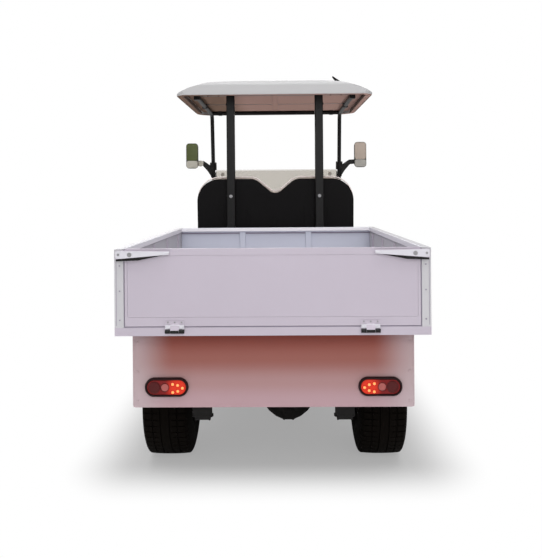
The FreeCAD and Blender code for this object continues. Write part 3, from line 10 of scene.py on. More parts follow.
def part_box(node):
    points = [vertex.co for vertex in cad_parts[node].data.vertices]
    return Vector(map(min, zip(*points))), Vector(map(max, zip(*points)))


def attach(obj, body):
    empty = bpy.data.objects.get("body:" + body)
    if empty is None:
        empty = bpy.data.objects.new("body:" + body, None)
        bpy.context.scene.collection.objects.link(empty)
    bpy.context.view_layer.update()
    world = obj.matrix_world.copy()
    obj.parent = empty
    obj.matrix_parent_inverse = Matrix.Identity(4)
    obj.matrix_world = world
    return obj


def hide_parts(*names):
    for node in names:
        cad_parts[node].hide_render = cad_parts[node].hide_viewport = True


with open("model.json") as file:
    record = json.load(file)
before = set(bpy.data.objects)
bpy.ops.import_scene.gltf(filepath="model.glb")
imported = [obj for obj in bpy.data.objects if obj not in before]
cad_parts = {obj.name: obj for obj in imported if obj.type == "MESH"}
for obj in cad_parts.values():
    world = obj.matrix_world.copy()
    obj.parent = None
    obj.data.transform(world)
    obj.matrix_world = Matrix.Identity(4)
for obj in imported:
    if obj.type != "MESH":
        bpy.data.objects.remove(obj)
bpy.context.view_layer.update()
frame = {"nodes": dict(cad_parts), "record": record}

# A utility golf cart seen from straight behind. Metres; +Y is the cart's front, +X its right side.

NODES = frame["nodes"]
BODY_OF = {node: body for body, nodes in frame["record"]["behaviour"]["bodies"].items() for node in nodes}
SLOT_OF = {part["node"]: part["material_slot"] for part in frame["record"]["subparts"]}
JOINTS = {joint["name"]: joint for joint in frame["record"]["behaviour"]["joints"]}
CORNERS = ("front_left", "front_right", "rear_left", "rear_right")
SIDES = (-1, 1)
RIGHT = (1, 0, 0)
AHEAD = (0, 1, 0)
BACK = (0, -1, 0)
UP = (0, 0, 1)
BELOW = (0, 0, -1)


# Materials

MATERIALS = {}
ROAD_DUST = (120, 108, 96)
COAT_ROUGHNESS = 0.12
BUMP_DEPTH = 0.001
SCRATCH_SCALE = 90.0
SHADED_FROM, SHADED_TO = -0.18, -0.38


def node_material(name):
    """Files a new material under its name; gives its node tree and its shader."""
    material = bpy.data.materials.new(name)
    material.use_nodes = True
    MATERIALS[name] = material
    return material.node_tree, material.node_tree.nodes["Principled BSDF"]


def feed(tree, node, inputs):
    """Gives a node's inputs, by name or number, plain values or the outputs of other nodes."""
    for key, value in inputs.items():
        if isinstance(value, (int, float, tuple)):
            node.inputs[key].default_value = value
        else:
            tree.links.new(value, node.inputs[key])


def add_node(tree, kind, inputs=None, **settings):
    node = tree.nodes.new(kind)
    for key, value in settings.items():
        setattr(node, key, value)
    feed(tree, node, inputs or {})
    return node


def linear(colour):
    """An sRGB colour, 0 to 255, as the linear values that a shader reads."""
    parts = [c / 255 for c in colour]
    return tuple(c / 12.92 if c <= 0.04045 else ((c + 0.055) / 1.055) ** 2.4 for c in parts) + (1.0,)


def scaled(colour, factor, lift=0.0):
    """A linear colour made lighter or darker, but not past white."""
    return tuple(min(1, c * factor + lift) for c in colour[:3]) + (1,)


def math_node(tree, operation, first, second=0.0):
    return add_node(tree, "ShaderNodeMath", {0: first, 1: second}, operation=operation).outputs["Value"]


def times(tree, first, second):
    return math_node(tree, "MULTIPLY", first, second)


def distance(tree, *parts):
    """How long a line is whose parts along the axes are given."""
    total = 0.0
    for part in parts:
        total = math_node(tree, "ADD", times(tree, part, part), total)
    return math_node(tree, "POWER", total, 0.5)


def mix_colour(tree, factor, first, second):
    mix = add_node(tree, "ShaderNodeMix", {"Factor": factor, "A": first, "B": second}, data_type="RGBA")
    return mix.outputs["Result"]


def mix_shader(tree, factor, first, second):
    return add_node(tree, "ShaderNodeMixShader", {0: factor, 1: first, 2: second}).outputs["Shader"]


def coordinate(tree, place, axis):
    return add_node(tree, "ShaderNodeSeparateXYZ", {"Vector": place}).outputs[axis]


def ramp_between(tree, value, low, high):
    """0 where the value is at low and 1 where it is at high, with a soft start and end."""
    ramp = add_node(tree, "ShaderNodeMapRange", {"From Min": low, "From Max": high, "Value": value},
                    interpolation_type="SMOOTHSTEP")
    return ramp.outputs["Result"]


def noise(tree, vector, scale, detail):
    node = add_node(tree, "ShaderNodeTexNoise", {"Scale": scale, "Detail": detail, "Vector": vector})
    return node.outputs["Fac"]


def surface(name, colour, roughness, metallic=0.0, vary=0.06, patch=3.0, grain=0.0, grain_size=500.0,
            coat=0.0, dust=0.0, dust_top=0.6, rough_vary=0.08, height_shade=None, under=None, shade=None, ends=None,
            specular=0.5, scratch=0.0, sheen=0.0):
    """A procedural finish: patchy colour, fine grain in the bump, road dust near the ground.

    The list of (height, colour) tints the surface by height: painted shade. under is a colour for faces that
    look downward and shade one for those of them at the left, both painted shade, and ends a tint that fades
    in toward the left and right: painted light on the rear panel, painted shade on the roof lining.
    """
    tree, shader = node_material(name)
    geometry = add_node(tree, "ShaderNodeNewGeometry")
    place = add_node(tree, "ShaderNodeTexCoord").outputs["Object"]
    broad = noise(tree, place, patch, 6.0)
    base = linear(colour)
    result = mix_colour(tree, broad, scaled(base, 1 - vary), scaled(base, 1 + vary))
    height = coordinate(tree, geometry.outputs["Position"], "Z")
    aside = coordinate(tree, geometry.outputs["Position"], "X")
    inputs = {"Metallic": metallic, "Coat Weight": coat, "Coat Roughness": COAT_ROUGHNESS,
              "Specular IOR Level": specular, "Sheen Weight": sheen}
    # Painted shade by height: the colour steps toward darker tints at the heights listed.
    if height_shade:
        for (low, _), (high, second) in zip(height_shade, height_shade[1:]):
            result = mix_colour(tree, ramp_between(tree, height, low, high), result, linear(second))
    # Painted light and shade toward the left and right: a tint that fades in with distance from the middle.
    if ends:
        inner, outer, tint, share = ends
        out = ramp_between(tree, math_node(tree, "ABSOLUTE", aside), inner, outer)
        result = mix_colour(tree, times(tree, out, share), result, linear(tint))
    # Painted shade: faces that look downward take a darker colour, darker still toward the left, and lose
    # most of their specular reflection.
    if under:
        facing = coordinate(tree, geometry.outputs["Normal"], "Z")
        left = ramp_between(tree, aside, SHADED_FROM, SHADED_TO)
        shaded_underside = mix_colour(tree, left, linear(under), linear(shade or under))
        result = mix_colour(tree, ramp_between(tree, facing, -0.3, -0.8), result, shaded_underside)
        inputs["Specular IOR Level"] = times(tree, ramp_between(tree, facing, -0.8, -0.3), specular)
    if scratch:
        worn = ramp_between(tree, noise(tree, place, SCRATCH_SCALE, 2.0), 0.62, 0.72)
        result = mix_colour(tree, times(tree, worn, scratch), result, scaled(base, 1.6, 0.02))
    if dust:
        low = ramp_between(tree, height, dust_top, 0.0)
        result = mix_colour(tree, times(tree, times(tree, low, broad), dust), result, linear(ROAD_DUST))
    rough = add_node(tree, "ShaderNodeMapRange",
                     {"To Min": max(0.0, roughness - rough_vary), "Value": broad,
                      "To Max": min(1.0, roughness + rough_vary)})
    inputs.update({"Base Color": result, "Roughness": rough.outputs["Result"]})
    if grain:
        bump = add_node(tree, "ShaderNodeBump",
                        {"Strength": grain, "Distance": BUMP_DEPTH,
                         "Height": noise(tree, place, grain_size, 3.0)})
        inputs["Normal"] = bump.outputs["Normal"]
    feed(tree, shader, inputs)
    return tree, shader


def pane(name, tint):
    """Clear tinted plastic: light passes through it straight and takes its tint."""
    tree, shader = node_material(name)
    place = add_node(tree, "ShaderNodeTexCoord").outputs["Object"]
    deep, plain = (tuple(c * share for c in tint) + (1,) for share in (0.985, 1))
    haze = mix_colour(tree, noise(tree, place, 4.0, 5.0), deep, plain)
    clear = add_node(tree, "ShaderNodeBsdfTransparent", {"Color": haze})
    feed(tree, shader, {"Base Color": (0.5, 0.48, 0.45, 1), "Roughness": 0.05})
    mirror = add_node(tree, "ShaderNodeLayerWeight", {"Blend": 0.12})
    amount = math_node(tree, "ADD", times(tree, mirror.outputs["Fresnel"], 0.35), 0.04)
    mixed = mix_shader(tree, amount, clear.outputs["BSDF"], shader.outputs["BSDF"])
    feed(tree, tree.nodes["Material Output"], {"Surface": mixed})


def lit_lens(name, colour, centre, reach, strength):
    """A coloured lens lit from inside round a place that is mirrored across the middle."""
    tree, shader = surface(name, colour, 0.35, vary=0.1, specular=0.25)
    place = add_node(tree, "ShaderNodeNewGeometry").outputs["Position"]
    aside = math_node(tree, "ABSOLUTE", coordinate(tree, place, "X"))
    across = math_node(tree, "SUBTRACT", aside, centre[0])
    up = math_node(tree, "SUBTRACT", coordinate(tree, place, "Z"), centre[1])
    near = ramp_between(tree, distance(tree, across, up), reach, reach * 0.3)
    feed(tree, shader, {"Emission Color": (1.0, 0.05, 0.01, 1),
                        "Emission Strength": times(tree, near, strength)})


def glow(name, colour, strength, rim):
    """A lit lens: brightest where it faces the viewer."""
    tree, shader = node_material(name)
    facing = add_node(tree, "ShaderNodeLayerWeight", {"Blend": 0.4}).outputs["Facing"]
    feed(tree, shader, {"Emission Color": mix_colour(tree, facing, linear(colour), rim), "Base Color": rim,
                        "Emission Strength": strength, "Roughness": 0.2})


# Painted shade on the rear panel: it turns darker and redder brown toward its top, under the bed's overhang,
# and paler again toward its left and right ends.
PANEL_HEIGHT_SHADE = [(0.4, None), (0.48, (160, 124, 124)), (0.57, (141, 84, 75)), (0.67, (118, 42, 26))]
PANEL_LIGHTER_ENDS = (0.4, 0.585, (178, 164, 168), 0.75)
# Painted shade: the roof lining turns darker toward its ends, under the canopy's lip.
LINING_SHADED_ENDS = (0.5, 0.58, (84, 66, 56), 1.0)
LAMP_LIT_PLACE = (0.386, 0.4555)

surface("body_paint", (196, 166, 168), 0.34, coat=0.35, vary=0.03, grain=0.03, rough_vary=0.0)
surface("panel_paint", (170, 140, 146), 0.38, coat=0.1, vary=0.03, specular=0.3, height_shade=PANEL_HEIGHT_SHADE,
        ends=PANEL_LIGHTER_ENDS, grain=0.03)
# Painted shade: the canopy's faces that look downward take a darker pinkish brown, darker still toward the
# left, with less specular reflection.
surface("roof_white", (168, 168, 169), 0.45, vary=0.03, grain=0.06, under=(174, 144, 135),
        shade=(129, 107, 94))
surface("roof_lining", (126, 100, 92), 0.8, vary=0.1, grain=0.3, ends=LINING_SHADED_ENDS)
surface("bed_inner", (186, 190, 203), 0.45, metallic=0.1, vary=0.03, grain=0.06)
surface("bed_metal", (178, 170, 182), 0.45, metallic=0.1, vary=0.03, grain=0.06, grain_size=260)
surface("bed_rail", (202, 201, 208), 0.42, metallic=0.15, vary=0.04, grain=0.05)
surface("bed_post", (184, 183, 187), 0.45, metallic=0.1, vary=0.03, grain=0.05)
surface("rail_light", (228, 227, 232), 0.42, vary=0.03, grain=0.05)
# Also the colour of the painted shadow strips under the headboard's rail.
surface("seam_grey", (142, 136, 150), 0.6, vary=0.05)
surface("frame_black", (10, 10, 10), 0.45, vary=0.2, grain=0.12, specular=0.25, scratch=0.08)
surface("axle_iron", (10, 9, 8), 0.75, vary=0.3, grain=0.5, grain_size=160, dust=0.04, dust_top=0.4,
        specular=0.2)
surface("spring_steel", (10, 9, 9), 0.7, vary=0.3, grain=0.3, dust=0.03, specular=0.2)
surface("zinc", (150, 150, 152), 0.35, metallic=0.9, vary=0.12, grain=0.1)
surface("chrome", (210, 212, 215), 0.08, metallic=1.0, vary=0.03)
surface("rim_steel", (186, 188, 192), 0.32, metallic=0.75, vary=0.05, grain=0.05, dust=0.2)
surface("tyre", (8, 5, 3), 0.85, vary=0.18, grain=0.4, grain_size=350, dust=0.015, dust_top=0.3,
        specular=0.06)
surface("grip_rubber", (26, 26, 26), 0.6, vary=0.15, grain=0.3, specular=0.35)
surface("black_plastic", (5, 4, 5), 0.55, vary=0.12, grain=0.35, grain_size=700, specular=0.12)
surface("floor_plate", (46, 45, 44), 0.78, vary=0.2, grain=0.5, dust=0.2)
surface("battery_case", (38, 40, 46), 0.5, vary=0.15, grain=0.2)
surface("cable_orange", (190, 84, 24), 0.5, vary=0.1)
surface("seat_vinyl", (212, 203, 194), 0.42, vary=0.04, grain=0.35, grain_size=420, sheen=0.15)
surface("seat_trim", (238, 226, 222), 0.5, vary=0.03, grain=0.2)
surface("bezel_black", (26, 3, 4), 0.45, vary=0.1, specular=0.2)
surface("lamp_dark", (70, 3, 4), 0.4, vary=0.15, specular=0.25)
surface("lamp_clear", (206, 211, 216), 0.08, vary=0.03, coat=0.8)
surface("reflector", (158, 84, 80), 0.35, vary=0.1, specular=0.3)
surface("clip_clear", (168, 162, 154), 0.35, vary=0.05)
surface("mirror_shell", (70, 70, 62), 0.5, vary=0.1, specular=0.3)
# Painted reflections: the mirror glass is green on the left and beige on the right.
surface("mirror_green", (72, 80, 38), 0.16, metallic=0.2, vary=0.16, patch=14, specular=0.35)
surface("mirror_beige", (133, 120, 109), 0.12, metallic=0.3, vary=0.1, patch=14)
surface("mirror_lower", (158, 156, 150), 0.4, vary=0.05)
surface("mirror_pale", (184, 181, 170), 0.4, vary=0.05)
pane("tinted_glass", (0.885, 0.873, 0.853))
lit_lens("lamp_red", (112, 4, 4), LAMP_LIT_PLACE, 0.062, 0.55)
glow("led_lit", (255, 150, 84), 1.5, (1.0, 0.07, 0.02, 1))

# The slot for a finish that isn't one itself; the rest go under frame_black.
SLOT_FOR = {"panel_paint": "body_paint", "bed_rail": "bed_metal", "rail_light": "bed_metal",
            "seam_grey": "bed_metal", "zinc": "axle_iron", "roof_lining": "roof_white",
            "clip_clear": "lamp_clear", "chrome": "rim_steel", "lamp_dark": "lamp_red",
            "led_lit": "lamp_red", "reflector": "lamp_red"}
NODE_FINISH = {"rear_panel": "panel_paint", "bed_headboard": "bed_inner", "bed_sides": "bed_post"}

for node_name, node_object in NODES.items():
    node_object.data.materials.clear()
    node_object.data.materials.append(MATERIALS[NODE_FINISH.get(node_name, SLOT_OF[node_name])])


# Shapes

class Shape:
    """A mesh under construction, in the part's own frame."""

    def __init__(self):
        self.bm = bmesh.new()

    def box(self, low, high, turn=None):
        """A box between two opposite corners, turned about its middle."""
        low, high = (Vector([pick(pair) for pair in zip(low, high)]) for pick in (min, max))
        place = Matrix.Translation((low + high) / 2)
        if turn is not None:
            place = place @ turn.to_4x4()
        bmesh.ops.create_cube(self.bm, size=1, matrix=place @ Matrix.Diagonal((*(high - low), 1)))

    def rod(self, start, end, radius, end_radius=None, sides=24):
        start, end = Vector(start), Vector(end)
        line = end - start
        turn = line.to_track_quat("Z", "Y").to_matrix().to_4x4()
        bmesh.ops.create_cone(self.bm, cap_ends=True, segments=sides, radius1=radius,
                              radius2=radius if end_radius is None else end_radius, depth=line.length,
                              matrix=Matrix.Translation((start + end) / 2) @ turn)

    def ball(self, centre, radius, squash=(1, 1, 1), sides=20):
        place = Matrix.Translation(centre) @ Matrix.Diagonal((*squash, 1))
        bmesh.ops.create_uvsphere(self.bm, u_segments=sides, v_segments=sides // 2, radius=radius,
                                  matrix=place)

    def skin(self, rings, loop=False):
        """Faces between rings of corners, each ring closed in itself."""
        pairs = list(zip(rings, rings[1:]))
        if loop:
            pairs.append((rings[-1], rings[0]))
        for first, second in pairs:
            for index in range(len(first)):
                following = (index + 1) % len(first)
                self.bm.faces.new((first[index], first[following], second[following], second[index]))

    def lathe(self, profile, centre, axis, sides=48, closed=False):
        """Turns (distance along the axis, radius) points about an axis through the centre."""
        axis = Vector(axis).normalized()
        side = axis.orthogonal().normalized()
        other = axis.cross(side)
        rings = []
        for along, radius in profile:
            ring = []
            for index in range(sides):
                angle = 2 * math.pi * index / sides
                point = Vector(centre) + axis * along + (side * math.cos(angle)
                                                         + other * math.sin(angle)) * radius
                ring.append(self.bm.verts.new(point))
            rings.append(ring)
        self.skin(rings, loop=closed)
        if not closed:
            for ring in (rings[0], rings[-1]):
                if (ring[0].co - ring[sides // 2].co).length > 1e-4:
                    self.bm.faces.new(ring if ring is rings[-1] else list(reversed(ring)))

    def ring(self, profile, centre, out=1, sides=48):
        """A closed profile turned about an axis across the cart; out is -1 for the left side's mirror."""
        self.lathe([(x * out, radius) for x, radius in profile], centre, RIGHT, sides, closed=True)

    def tube(self, points, radius, sides=14, loop=False):
        """A round tube along a line of points."""
        points = [Vector(p) for p in points]
        count = len(points)
        rings = []
        normal = None
        for index, point in enumerate(points):
            before = points[index - 1] if index or loop else point
            after = points[(index + 1) % count] if index < count - 1 or loop else point
            heading = (after - before).normalized()
            if normal is None:
                normal = heading.orthogonal().normalized()
            normal = (normal - heading * normal.dot(heading)).normalized()
            across = heading.cross(normal)
            angles = [2 * math.pi * k / sides for k in range(sides)]
            rings.append([self.bm.verts.new(point + (normal * math.cos(a) + across * math.sin(a)) * radius)
                          for a in angles])
        self.skin(rings, loop=loop)
        if not loop:
            self.bm.faces.new(list(reversed(rings[0])))
            self.bm.faces.new(rings[-1])

    def plate(self, outline, origin, thickness, across=RIGHT, up=UP):
        """A flat plate from a 2-D outline, extruded along the plane's normal."""
        across, up, origin = Vector(across), Vector(up), Vector(origin)
        out = across.cross(up).normalized() * thickness
        face = [self.bm.verts.new(origin + across * u + up * v) for u, v in outline]
        back = [self.bm.verts.new(vert.co + out) for vert in face]
        self.bm.faces.new(list(reversed(face)))
        self.bm.faces.new(back)
        self.skin([face, back])

    def stack(self, rows, middle):
        """A skin through outlines that lie one before another, each (outline, distance ahead)."""
        loops = [[self.bm.verts.new(middle + Vector((u, ahead, v))) for u, v in points] for points,
                 ahead in rows]
        self.skin(loops)
        return loops

    def done(self, name, material, body="chassis", bevel=0.0, segments=2, smooth=35, angle=40, stand_for=(),
             slot=None):
        """Makes the piece: its finish, rounded edges and body, and hides the CAD node that it stands for; its
        slot is worked out but not kept.
        """
        bmesh.ops.recalc_face_normals(self.bm, faces=self.bm.faces)
        for face in self.bm.faces:
            face.smooth = True
        mesh = bpy.data.meshes.new(name)
        self.bm.to_mesh(mesh)
        self.bm.free()
        mesh.set_sharp_from_angle(angle=math.radians(smooth))
        mesh.materials.append(MATERIALS[material])
        thing = bpy.data.objects.new(name, mesh)
        bpy.context.scene.collection.objects.link(thing)
        if bevel:
            round_edges(thing, bevel, segments, angle)
        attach(thing, body)
        if stand_for:
            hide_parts(*stand_for)
            slot = slot or SLOT_OF.get(stand_for[0])
        own = material if material in SLOT_OF.values() else SLOT_FOR.get(material, "frame_black")
        slot or own
        return thing


def round_edges(thing, width, segments, angle):
    bevel = thing.modifiers.new("bevel", "BEVEL")
    bevel.width = width
    bevel.segments = segments
    bevel.limit_method = "ANGLE"
    bevel.angle_limit = math.radians(angle)
    return bevel


def soften(node, width, segments=2, angle=35):
    """Rounds a CAD node's edges and smooths its curved faces, without touching its own vertices."""
    weld = NODES[node].modifiers.new("weld", "WELD")
    weld.merge_threshold = 0.00002
    bevel = round_edges(NODES[node], width, segments, angle)
    bevel.harden_normals = False
    bevel.use_clamp_overlap = True


def rounded(width, height, radius, steps=6):
    """The outline of a rectangle with round corners, about its middle."""
    points = []
    x, y = width / 2 - radius, height / 2 - radius
    for cx, cy, start in ((x, y, 0), (-x, y, 90), (-x, -y, 180), (x, -y, 270)):
        for step in range(steps + 1):
            angle = math.radians(start + 90 * step / steps)
            points.append((cx + radius * math.cos(angle), cy + radius * math.sin(angle)))
    return points


def bend_path(corners, steps=8):
    """Points along straight runs joined by arcs; corners are (point, bend radius)."""
    points = [Vector(corners[0][0])]
    for (before, _), (corner, radius), (after, _) in zip(corners, corners[1:], corners[2:]):
        before, corner, after = Vector(before), Vector(corner), Vector(after)
        back = (before - corner).normalized()
        ahead = (after - corner).normalized()
        half = back.angle(ahead) / 2
        reach = radius / math.tan(half)
        middle = corner + (back + ahead).normalized() * (radius / math.sin(half))
        start, end = corner + back * reach - middle, corner + ahead * reach - middle
        turn = start.rotation_difference(end)
        for step in range(steps + 1):
            points.append(middle + Quaternion().slerp(turn, step / steps) @ start)
    points.append(Vector(corners[-1][0]))
    return points


def settle(thing):
    """Puts what a piece's modifiers do into its mesh for good."""
    bpy.context.view_layer.update()
    graph = bpy.context.evaluated_depsgraph_get()
    mesh = bpy.data.meshes.new_from_object(thing.evaluated_get(graph))
    thing.modifiers.clear()
    thing.data = mesh


def cut_out(thing, shape):
    """Takes a shape out of a piece for good."""
    mesh = bpy.data.meshes.new("cutter")
    bmesh.ops.recalc_face_normals(shape.bm, faces=shape.bm.faces)
    shape.bm.to_mesh(mesh)
    shape.bm.free()
    cutter = bpy.data.objects.new("cutter", mesh)
    bpy.context.scene.collection.objects.link(cutter)
    cut = thing.modifiers.new("cut", "BOOLEAN")
    cut.object = cutter
    cut.operation = "DIFFERENCE"
    cut.solver = "EXACT"
    settle(thing)
    bpy.data.objects.remove(cutter)


def hex_bolts(shape, places, direction, radius=0.008, height=0.006, washer=True):
    """Hexagon heads, each on a washer, that stand out along a direction."""
    direction = Vector(direction).normalized()
    for place in places:
        place = Vector(place)
        if washer:
            shape.rod(place, place + direction * 0.0015, radius * 1.35, sides=20)
        shape.rod(place + direction * 0.001, place + direction * height, radius, sides=6)


def around(centre, radius, angle, along=0.0):
    """A point beside an axis that runs across the cart."""
    return centre + Vector((along, math.cos(angle) * radius, math.sin(angle) * radius))


# Wheels

WHEEL_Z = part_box("rear_left_tyre")[1].z / 2
TYRE_RADIUS = 0.2794
TREAD_HALF = 0.089
CROWN_DROP = 0.004
GROOVES = ((0.0575, 0.0525), (0.0225, 0.018))
PITCHES = 56
# Where the rings of a pitch lie, as shares of it, and whether the cross slot cuts them.
SLOT_STEPS = ((0.0, False), (0.42, False), (0.43, True), (0.56, True), (0.57, False))
SHOULDER_CUT = 0.0055
SIDE_CUT = 0.0035
BARREL_WALL = 0.0035
BOLT_CIRCLE = 0.0508
NUTS = 4
VENTS = (8, 0.089, 0.0105)
NUT_HOLES = (NUTS, BOLT_CIRCLE, 0.0062)


def crown(across):
    """The tread's radius at a distance from the tyre's middle plane."""
    return TYRE_RADIUS - CROWN_DROP * (across / TREAD_HALF) ** 2.4


def wheel_centre(corner):
    x, y, _ = JOINTS[corner + "_spin"]["pos_m"]
    return Vector((x, y, WHEEL_Z))


def make_tyre(corner):
    """A turf tyre: five ribs parted by grooves, with cross slots cut into the shoulders."""
    centre = wheel_centre(corner)
    side = [(0.086, 0.1285), (0.0945, 0.132), (0.101, 0.141), (0.1068, 0.153), (0.1105, 0.166),
            (0.1121, 0.18), (0.1121, 0.1815), (0.113, 0.183), (0.113, 0.189), (0.1118, 0.1905),
            (0.1111, 0.204), (0.1098, 0.2155), (0.1076, 0.23), (0.105, 0.243), (0.1018, 0.256),
            (0.0982, 0.265), (0.0942, 0.2715)]
    half = [(x, r, "side") for x, r in side]
    half.append((TREAD_HALF, crown(TREAD_HALF), "shoulder"))
    for low, high in GROOVES:
        half += [(low, crown(low), "rib"), (low - 0.0006, crown(low) - 0.006, "groove"),
                 (high + 0.0006, crown(high) - 0.006, "groove"), (high, crown(high), "rib")]
    section = half + [(-x, r, kind) for x, r, kind in reversed(half)]
    section += [(-0.08, 0.1285, "bead"), (0.08, 0.1285, "bead")]
    shape = Shape()
    rings = []
    for pitch in range(PITCHES):
        for share, slot in SLOT_STEPS:
            angle = 2 * math.pi * (pitch + share) / PITCHES
            ring = []
            for x, radius, kind in section:
                cut = 0.0
                if slot and (kind == "shoulder" or kind == "rib" and abs(x) > 0.05):
                    cut = SHOULDER_CUT
                elif slot and kind == "side" and radius > 0.252:
                    cut = SIDE_CUT
                lead = 0.0 if kind in ("side", "bead") else math.copysign(0.08 * (abs(x) - 0.02), x)
                ring.append(shape.bm.verts.new(around(centre, radius - cut, angle + lead, x)))
            rings.append(ring)
    shape.skin(rings, loop=True)
    shape.done("tyre_" + corner, "tyre", body="wheel_" + corner, smooth=32, stand_for=[corner + "_tyre"])


def make_rim(corner):
    """A pressed steel wheel: stepped barrel, dished disc with vents, hub, cap, nuts and valve."""
    body = "wheel_" + corner
    centre = wheel_centre(corner)
    out = 1 if centre.x > 0 else -1
    outward = Vector((out, 0, 0))
    barrel = [(-0.089, 0.1265), (-0.0885, 0.127), (-0.083, 0.127), (-0.0795, 0.1245), (-0.074, 0.1225),
              (-0.06, 0.1215), (-0.05, 0.113), (-0.018, 0.112), (0.042, 0.112), (0.053, 0.116),
              (0.066, 0.1215), (0.074, 0.1225), (0.0795, 0.1245), (0.083, 0.127), (0.0885, 0.127),
              (0.089, 0.1265)]
    shape = Shape()
    shape.ring(barrel + [(x, r - BARREL_WALL) for x, r in reversed(barrel)], centre, out, 96)
    shape.done("rim_barrel_" + corner, "rim_steel", body=body, smooth=40)
    disc = Shape()
    face = [(0.02, 0.1118), (0.026, 0.104), (0.043, 0.094), (0.046, 0.084), (0.034, 0.07), (0.03, 0.06),
            (0.03, 0.0205), (0.0265, 0.0205), (0.0265, 0.06), (0.0305, 0.0715), (0.042, 0.084),
            (0.0395, 0.0925), (0.0225, 0.1025), (0.016, 0.1112)]
    disc.ring(face, centre, out, 96)
    pressing = disc.done("rim_disc_" + corner, "rim_steel", body=body, smooth=40,
                         stand_for=[corner + "_rim"])
    cutters = Shape()
    for count, circle, radius in (VENTS, NUT_HOLES):
        for index in range(count):
            place = around(centre, circle, 2 * math.pi * (index + 0.5) / count)
            cutters.rod(place - outward * 0.02, place + outward * 0.09, radius, sides=20)
    cut_out(pressing, cutters)
    pressing.data.set_sharp_from_angle(angle=math.radians(40))
    hub = Shape()
    hub.ring([(-0.048, 0.0158), (-0.048, 0.046), (-0.04, 0.0478), (0.0262, 0.0478), (0.0262, 0.0158)],
             centre, out)
    cap = [(0.028, 0.02), (0.028, 0.027), (0.04, 0.0262), (0.05, 0.0235), (0.056, 0.019), (0.059, 0.011),
           (0.0597, 0.0004)]
    hub.lathe([(x * out, r) for x, r in cap], centre, RIGHT, sides=36)
    hub.done("rim_hub_" + corner, "axle_iron", body=body, smooth=40)
    nuts = Shape()
    for index in range(NUTS):
        place = around(centre, BOLT_CIRCLE, 2 * math.pi * (index + 0.5) / NUTS, 0.03 * out)
        nuts.rod(place - outward * 0.012, place + outward * 0.018, 0.0058, sides=14)
        nuts.rod(place, place + outward * 0.003, 0.0088, 0.0105, sides=24)
        nuts.rod(place + outward * 0.003, place + outward * 0.014, 0.0105, sides=6)
    nuts.done("lug_nuts_" + corner, "zinc", body=body, bevel=0.0007, smooth=30)
    valve = Shape()
    base = centre + Vector((0.047 * out, 0, 0.1035))
    neck = base + Vector((0.018 * out, 0, -0.004))
    valve.rod(base - outward * 0.006, neck, 0.0036, sides=14)
    valve.rod(neck, base + Vector((0.026 * out, 0, -0.0055)), 0.0042, sides=14)
    valve.done("valve_" + corner, "grip_rubber", body=body, smooth=40)


for corner in CORNERS:
    make_tyre(corner)
    make_rim(corner)


# Rear: tailgate, bed, panel and lamps

GATE_FACE_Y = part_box("bed_sides")[0].y
GATE_HALF = 0.584
HINGE_HALF = 0.0375
HINGE_PIN_Z = 0.7
HINGE_PIN_OUT = 0.008
HINGE_RADIUS = 0.0074
BED_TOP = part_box("bed_sides")[1].z
BED_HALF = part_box("bed_sides")[1].x
PANEL_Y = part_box("rear_panel")[0].y
HINGE_X = 0.386
LATCH_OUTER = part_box("tailgate")[1].x
LATCH_LENGTH = 0.214
LATCH_PIVOT_X = 0.56
LATCH_LOCK_X = 0.604
LIP_DEPTH = 0.025
DECK_RIDGES = 15
DECK_PITCH = 0.08
WALL_RIBS = 4
WALL_PITCH = 0.4


def hinge_point(x):
    return (x, GATE_FACE_Y - HINGE_PIN_OUT, HINGE_PIN_Z)


